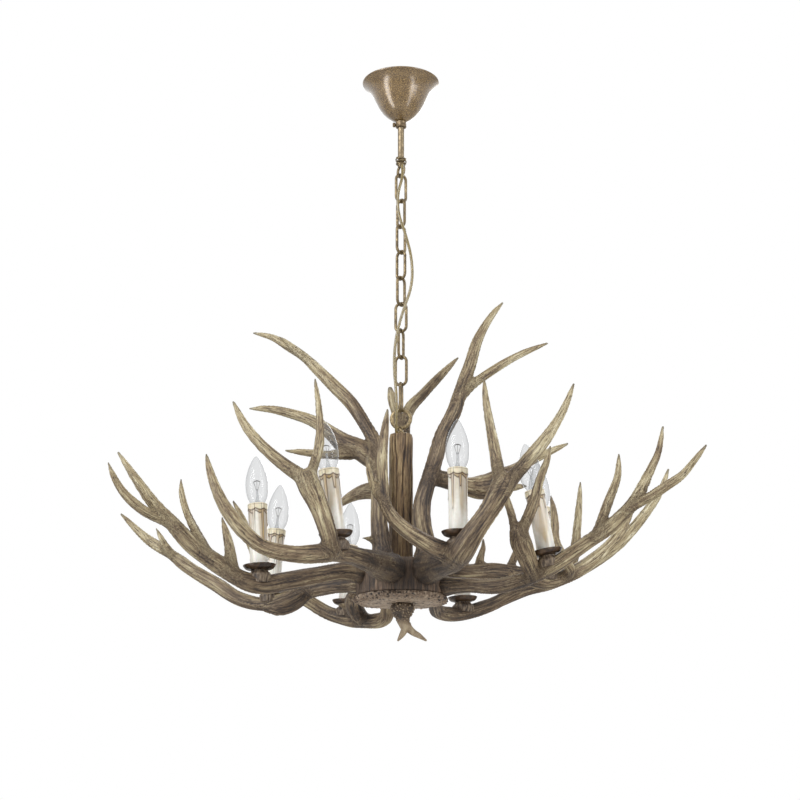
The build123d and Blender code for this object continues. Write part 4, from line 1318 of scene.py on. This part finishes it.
class CHANDELIER_OT_column(bpy.types.Operator):
    """Carve the log column with its long grooves"""
    bl_idname = "chandelier.column"
    bl_label = "Column"

    def execute(self, context):
        depth = context.scene.chandelier_column.groove
        low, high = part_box("column")
        grooves = [math.radians(a) for a in (14, 61, 97, 150, 196, 226, 251, 281, 322)]
        around, rows = 264, 170
        rings, ridge, foot_shade = [], [], []
        for i in range(rows + 1):
            share = i / rows
            foot_shade += [1 - share] * around
            z = low[2] + (high[2] - low[2]) * share
            # The last rows draw in to the worn top edge
            top = min(1, (1 - share) * rows / 5)
            drawn = 0.93 + 0.07 * top
            ring = []
            for t, c, s in circle(around):
                drift = 0.34 * noise.noise((c * 1.2, s * 1.2, z * 11)) + 0.12 * noise.noise((c * 3, s * 3, z * 30))
                gap = min(turn_gap(t + drift, groove) for groove in grooves)
                shut = min(1.0, max(0.15, 0.75 + 1.3 * noise.noise((c * 1.6 + 9, s * 1.6, z * 16))))
                half = 0.0009 + 0.0007 * noise.noise((c, s, z * 14))
                cut = shut * math.exp(-(gap * COLUMN_RADIUS / half) ** 2)
                small = noise.noise((c * 7, s * 7, z * 22)) * 0.5 + noise.noise((c * 17, s * 17, z * 34)) * 0.35
                worn = noise.noise((c * 2.2, s * 2.2, z * 30))
                r = COLUMN_RADIUS + 0.0004 - depth * cut + 0.0008 * small + 0.0006 * worn
                ring.append((r * c * drawn, r * s * drawn, z - 0.0024 * (1 - top) * abs(small + worn)))
                ridge.append(max(0, min(1, 0.62 + 0.5 * small + 0.25 * worn - 0.85 * cut)))
            rings.append(ring)
        rings.append([(x * 0.75, y * 0.75, high[2] - 0.0003) for x, y, _ in rings[-1]])
        ridge += ridge[-around:]
        foot_shade += [0.0] * around
        # The low values carry the painted shade towards the column's foot
        values = {"ridge": ridge, "low": foot_shade}
        make_piece("column_log", bridge(rings), "pendant", cast_bark(), ["column"], values, 180)
        return {"FINISHED"}


def fibrous_hub(rim, low, high):
    """The hub's skin of upright fibres, with how high each vertex stands on them."""
    eased = 0.007
    outline = [(0.048, low), (rim - 0.0015, low), (rim, low + 0.002)]
    outline += [(rim, low + 0.002 + (high - low - 0.009) * i / 26) for i in range(1, 27)]
    for a in np.linspace(0.2, math.pi / 2, 8):
        outline.append((rim - eased * (1 - math.cos(a)), high - eased + eased * math.sin(a)))
    outline += [(r, high) for r in (0.058, 0.05, 0.042, 0.034, 0.027, 0.021, 0.0175)]
    rings, ridge = [], []
    for row, (radius, z) in enumerate(outline):
        held = 0.0 if row < 2 else 1.0
        flat = radius < rim - 0.008
        ring = []
        for _, c, s in circle(420):
            if flat:
                strand = noise.noise((c * 12, s * 12, radius * 60)) + 0.5 * noise.noise((c * 30, s * 30, radius * 90))
            else:
                strand = noise.noise((c * 20, s * 20, z * 22)) + 0.6 * noise.noise((c * 46, s * 46, z * 40))
            off = held * (0.0011 * strand + 0.0012 * noise.noise((c * 4, s * 4, z * 12)))
            if flat:
                ring.append((radius * c, radius * s, z + off * 0.6 - 0.0012 * held))
            else:
                r = radius + off - 0.0006
                ring.append((r * c, r * s, z))
            ridge.append(max(0, min(1, 0.5 + 0.7 * strand)))
        rings.append(ring)
    return bridge(rings), ridge


def pearled_plate(bottom, top, scallops):
    """The scalloped plate with its pearled rim, with how high each vertex stands on the pearls."""
    bore, dip = 0.011, 0.0006
    around = 480
    profile = [(bore, dip)] + [(r, dip - dip * (r - bore) / 0.05) for r in np.linspace(0.014, 0.064, 32)]
    profile += [
        (0.0668, 0.0001), (0.0695, 0.0004), (0.0722, 0.001), (0.0748, 0.0018), (0.077, 0.0028), (0.0787, 0.004),
        (0.0797, 0.0055), (PLATE_RADIUS, 0.007), (0.0796, 0.0085), (0.0785, 0.0098), (0.0765, 0.011),
    ]
    profile = above(profile, bottom) + [(r, top) for r in (0.0735, 0.068, 0.05)]
    flat = []
    for r, z in profile:
        wide = max(0.0, min(1.0, (r - 0.055) / 0.02)) if z < top - 0.0002 else 0.0
        for t, c, s in circle(around):
            wobble = 0.35 * noise.noise((c * 3, s * 3, 5.5))
            dent = 1 - (0.5 + 0.5 * math.cos(scallops * (t + wobble * 0.4)))
            ragged = 0.0016 * noise.noise((c * 14, s * 14, 2.5))
            cut = (0.0046 * dent ** 1.5 + 0.0012 + ragged) * wide
            flat.append(((r - cut) * c, (r - cut) * s, z + 0.0012 * dent * wide, wide))
    flat = np.array(flat)
    points, rim = flat[:, :3].copy(), flat[:, 3]
    height = 0.62 * pearls(points, 0.0052, 3.1) + 0.38 * pearls(points, 0.011, 8.3)
    radial = np.linalg.norm(flat[:, :2], axis=1)
    outward = np.clip((radial - 0.066) / 0.012, 0, 1) * (rim > 0)
    relief = (height - 0.72) * (0.0012 + 0.0046 * rim) * (flat[:, 2] < top - 0.0004)
    points[:, 2] -= relief * (1 - outward)
    points[:, :2] += (relief * outward)[:, None] * flat[:, :2] / radial[:, None]
    rings = [points[i:i + around].tolist() for i in range(0, len(points), around)]
    ridge = np.clip(0.25 + 0.75 * (height * rim + (1 - rim) * (0.55 + 0.35 * height)), 0, 1)
    return bridge(rings, foot=False), ridge


class CHANDELIER_OT_hub(bpy.types.Operator):
    """Carve the fibrous hub and the pearled plate under it"""
    bl_idname = "chandelier.hub"
    bl_label = "Hub"

    def execute(self, context):
        low, high = hub_low[2], hub_high[2]
        form, ridge = fibrous_hub(HUB_RADIUS, low, high)
        make_piece("hub_fibrous", form, "pendant", cast_fibre(), ["hub"], {"ridge": ridge}, 180)
        scallops = context.scene.chandelier_column.scallops
        form, ridge = pearled_plate(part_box("hub_plate")[0][2], low - 0.0002, scallops)
        burr = cast_burr("plate burr", "#2b1e14", "#675341", "#a08d78", "#cabaa3", 1.0)
        make_piece("plate_pearled", form, "pendant", burr, ["hub_plate"], {"ridge": ridge}, 180)
        return {"FINISHED"}


class CHANDELIER_OT_finial(bpy.types.Operator):
    """Grow the small forked burr below the hub"""
    bl_idname = "chandelier.finial"
    bl_label = "Finial"

    def execute(self, context):
        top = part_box("hub_plate")[0][2] + 0.0004
        cup = [
            (0.0165, 0), (0.0192, -0.003), (0.0198, -0.007), (0.0186, -0.012), (0.016, -0.017), (0.0128, -0.022),
            (0.0104, -0.028),
        ]
        trunk = [
            (0.0, 0, -0.014, 0.022), (0.003, 0, -0.027, 0.019), (0.008, 0, -0.036, 0.0185),
            (0.0108, 0, -0.042, 0.016),
        ]
        left = [
            (0.008, 0, -0.036, 0.012), (0.004, 0, -0.045, 0.0105), (-0.001, 0, -0.053, 0.0075),
            (-0.0055, 0, -0.0595, 0.0028),
        ]
        right = [
            (0.010, 0, -0.037, 0.013), (0.019, 0, -0.045, 0.0115), (0.029, -0.001, -0.051, 0.0085),
            (0.041, -0.002, -0.0592, 0.003),
        ]
        forms = [moved(turned(above(cup, top), 40), Matrix.Translation((0.0025, 0, 0)))]
        for limb, flats in ((trunk, 20), (left, 16), (right, 16)):
            forms.append(tube(smooth_line([(x, y, top + z, girth) for x, y, z, girth in limb], 0.002), flats))
        mesh = fused("finial_grown", forms, 0.0009)
        edges = numbers_of(mesh.edges, "vertices", 2, int)
        points = relax(numbers_of(mesh.vertices, "co", 3), edges, np.full(len(mesh.vertices), 0.35), 3)
        reshape(mesh, points)
        # Pearled above, smooth at the forks, and left flat where it meets the plate
        burr = np.clip((points[:, 2] - (top - 0.034)) / 0.012, 0, 1)
        bumps = pearls(points, 0.0045, 1.7)
        fine = np.array([noise.noise((x * 150, y * 150, z * 60)) for x, y, z in points])
        height = burr * bumps + (1 - burr) * (0.75 + 0.35 * fine)
        offset = (bumps - 0.7) * 0.0026 * burr + 0.0004 * fine * (1 - burr)
        held = np.clip((top - points[:, 2]) / 0.002, 0, 1)
        normals = numbers_of(mesh.vertex_normals, "vector", 3)
        reshape(mesh, points + normals * (offset * held)[:, None])
        mesh.polygons.foreach_set("use_smooth", [True] * len(mesh.polygons))
        mark(mesh, "ridge", np.clip(height, 0, 1))
        finish = cast_burr("finial burr", "#2f2317", "#5f4d39", "#95836a", "#c0b294")
        add_piece("finial_grown", mesh, "pendant", finish, ["finial"])
        return {"FINISHED"}


class CHANDELIER_OT_antlers(bpy.types.Operator):
    """Build the eight side antlers and the three uprights"""
    bl_idname = "chandelier.antlers"
    bl_label = "Antlers"

    def execute(self, context):
        sizes = context.scene.chandelier_antlers
        finish = cast_antler()
        for seed, name in enumerate([*SIDE_ANTLERS, *UPRIGHT_ANTLERS], start=1):
            mesh = antler_mesh(name, seed, sizes.voxel, sizes.groove)
            add_piece(name + "_grooved", mesh, "pendant", finish, [name])
        return {"FINISHED"}


class CHANDELIER_OT_candle_seats(bpy.types.Operator):
    """Seat the burrs and the drip trays on the antlers"""
    bl_idname = "chandelier.candle_seats"
    bl_label = "Seats and trays"

    def execute(self, context):
        sizes = context.scene.chandelier_candles
        burr = cast_burr("seat burr", "#2b2018", "#524335", "#7e6e5a", "#a3947c")
        brown = simple("tray brown", "#2e211a", "#57432f", 0.34, 0.3, 90, 0.0003)
        seats, ridges, trays = [], [], []
        rim = sizes.tray_diameter / 2
        low = sizes.seat_height
        tray = rounded(above([
            (0.0, 0.0002), (0.0125, 0), (0.0135, 0.0006), (rim - 0.0048, 0.0022), (rim - 0.002, 0.0052),
            (rim - 0.0002, 0.0086), (rim - 0.0006, 0.0092), (rim - 0.0016, 0.0088), (rim - 0.0036, 0.0056),
            (rim - 0.0062, 0.0036), (0.0155, TRAY_FLOOR), (0.0, TRAY_FLOOR),
        ], low), 2)
        for number, (carrier, lean) in enumerate(CANDLES):
            place = candle_place(carrier, lean)
            girth = seat_station(carrier)[3] / 1000
            form, ridge = burr_seat(number * 2.3, 0.0185, 0.0132, low, girth * 0.42)
            seats.append(moved(form, place))
            ridges += ridge
            trays.append(moved(turned([(max(r, 0.0002), z) for r, z in tray], 72), place))
        values = {"ridge": ridges}
        make_piece("seat_burrs", join_forms(*seats), "pendant", burr, ["candle_seats"], values, 60)
        make_piece("tray_dishes", join_forms(*trays), "pendant", brown, ["drip_trays"])
        return {"FINISHED"}


class CHANDELIER_OT_candle_sleeves(bpy.types.Operator):
    """Mould the candle sleeves with collar and drips, and the lamp holders inside"""
    bl_idname = "chandelier.candle_sleeves"
    bl_label = "Sleeves and holders"

    def execute(self, context):
        sizes = context.scene.chandelier_candles
        radius = sizes.sleeve_diameter / 2
        low = sizes.seat_height + TRAY_FLOOR
        forms, values, holders = [], {"band": [], "gold": [], "line": []}, []
        for number, (carrier, lean) in enumerate(CANDLES):
            place = candle_place(carrier, lean) @ Matrix.Rotation(number * 1.7, 4, "Z")
            form, colours = wax_sleeve(number + 11, radius, SLEEVE_WALL, low, sizes.sleeve_length, sizes.gold)
            forms.append(moved(form, place))
            for key, numbers in colours.items():
                values[key].extend(numbers)
            top = low + sizes.sleeve_length - HOLDER_DROP
            holder = rounded([
                (radius - 0.0022, low), (radius - 0.002, top - 0.002), (radius - 0.003, top), (0.0082, top),
                (0.0074, top - 0.001), (0.0071, top - 0.004), (0.0071, top - 0.025), (0.0002, top - 0.0255),
            ], 1)
            holders.append(moved(turned([(0.0002, low), *holder], 48), place))
        wax = candle_wax()
        make_piece("wax_sleeves", join_forms(*forms), "pendant", wax, ["candle_sleeves"], values, 50)
        cream = simple("holder moulding", "#dedbd2", "#ebe8e0", 0.4)
        make_piece("holder_cups", join_forms(*holders), "pendant", cream, ["lamp_holders"])
        return {"FINISHED"}


class CHANDELIER_OT_bulbs(bpy.types.Operator):
    """Blow the clear candle bulbs with their mounts, filaments and caps"""
    bl_idname = "chandelier.bulbs"
    bl_label = "Bulbs"

    def execute(self, context):
        sizes = context.scene.chandelier_candles
        glass = bulb_glass()
        mount = Finish("mount glass", "#c9cdd0", 0.08)
        mount.set("Alpha", mount.spread(mount.add("LayerWeight", Blend=0.5).outputs["Facing"], 0.1, 0.9, 0.35, 0.85))
        mount.set("Coat Weight", 0.4)
        wire = simple("lamp wire", "#4c4a47", "#77736d", 0.3, 0.9)
        brass = aged_bronze("cap brass", "#7d6a3e", "#b19a5f", "#d3c08a")
        base = sizes.seat_height + TRAY_FLOOR + sizes.sleeve_length - HOLDER_DROP + BULB_GAP
        cap_radius, cap_length = 0.0067, 0.0215
        for number, (carrier, lean) in enumerate(CANDLES, start=1):
            place = candle_place(carrier, lean)
            flame, stem, wires, cap = bulb_forms(
                base, sizes.bulb_diameter, sizes.bulb_length, cap_radius, cap_length)
            for label, form, finish, replaced in (
                ("flame", flame, glass, [f"bulb_{number}"]), ("mount", stem, mount.material, []),
                ("wires", wires, wire, []), ("cap", cap, brass, []),
            ):
                piece, body = f"bulb_{number}_{label}", f"bulb_{number}"
                make_piece(piece, moved(form, place), body, finish, replaced)
        return {"FINISHED"}


class VIEW3D_PT_chandelier(bpy.types.Panel):
    """Lists the pieces of the chandelier"""
    bl_label = "Antler chandelier"
    bl_space_type = "VIEW_3D"
    bl_region_type = "UI"
    bl_category = "Chandelier"

    def draw(self, context):
        for operator in STEPS:
            self.layout.operator(operator.bl_idname)


GROUPS = {
    "chandelier_stage": ChandelierStage, "chandelier_antlers": ChandelierAntlers, "chandelier_cord": ChandelierCord,
    "chandelier_chain": ChandelierChain, "chandelier_column": ChandelierColumn, "chandelier_candles": ChandelierCandles,
}
STEPS = [
    CHANDELIER_OT_stage, CHANDELIER_OT_supply_cord, CHANDELIER_OT_inner_parts, CHANDELIER_OT_canopy,
    CHANDELIER_OT_chain, CHANDELIER_OT_column, CHANDELIER_OT_hub, CHANDELIER_OT_finial, CHANDELIER_OT_antlers,
    CHANDELIER_OT_candle_seats, CHANDELIER_OT_candle_sleeves, CHANDELIER_OT_bulbs,
]


def register():
    for group in [*GROUPS.values(), *STEPS, VIEW3D_PT_chandelier]:
        bpy.utils.register_class(group)
    for name, group in GROUPS.items():
        setattr(bpy.types.Scene, name, bpy.props.PointerProperty(type=group))


def unregister():
    for name in GROUPS:
        delattr(bpy.types.Scene, name)
    for group in [VIEW3D_PT_chandelier, *STEPS[::-1], *GROUPS.values()]:
        bpy.utils.unregister_class(group)


def main():
    register()
    for step in STEPS:
        module, name = step.bl_idname.split(".")
        getattr(getattr(bpy.ops, module), name)()


if __name__ == "__main__":
    main()
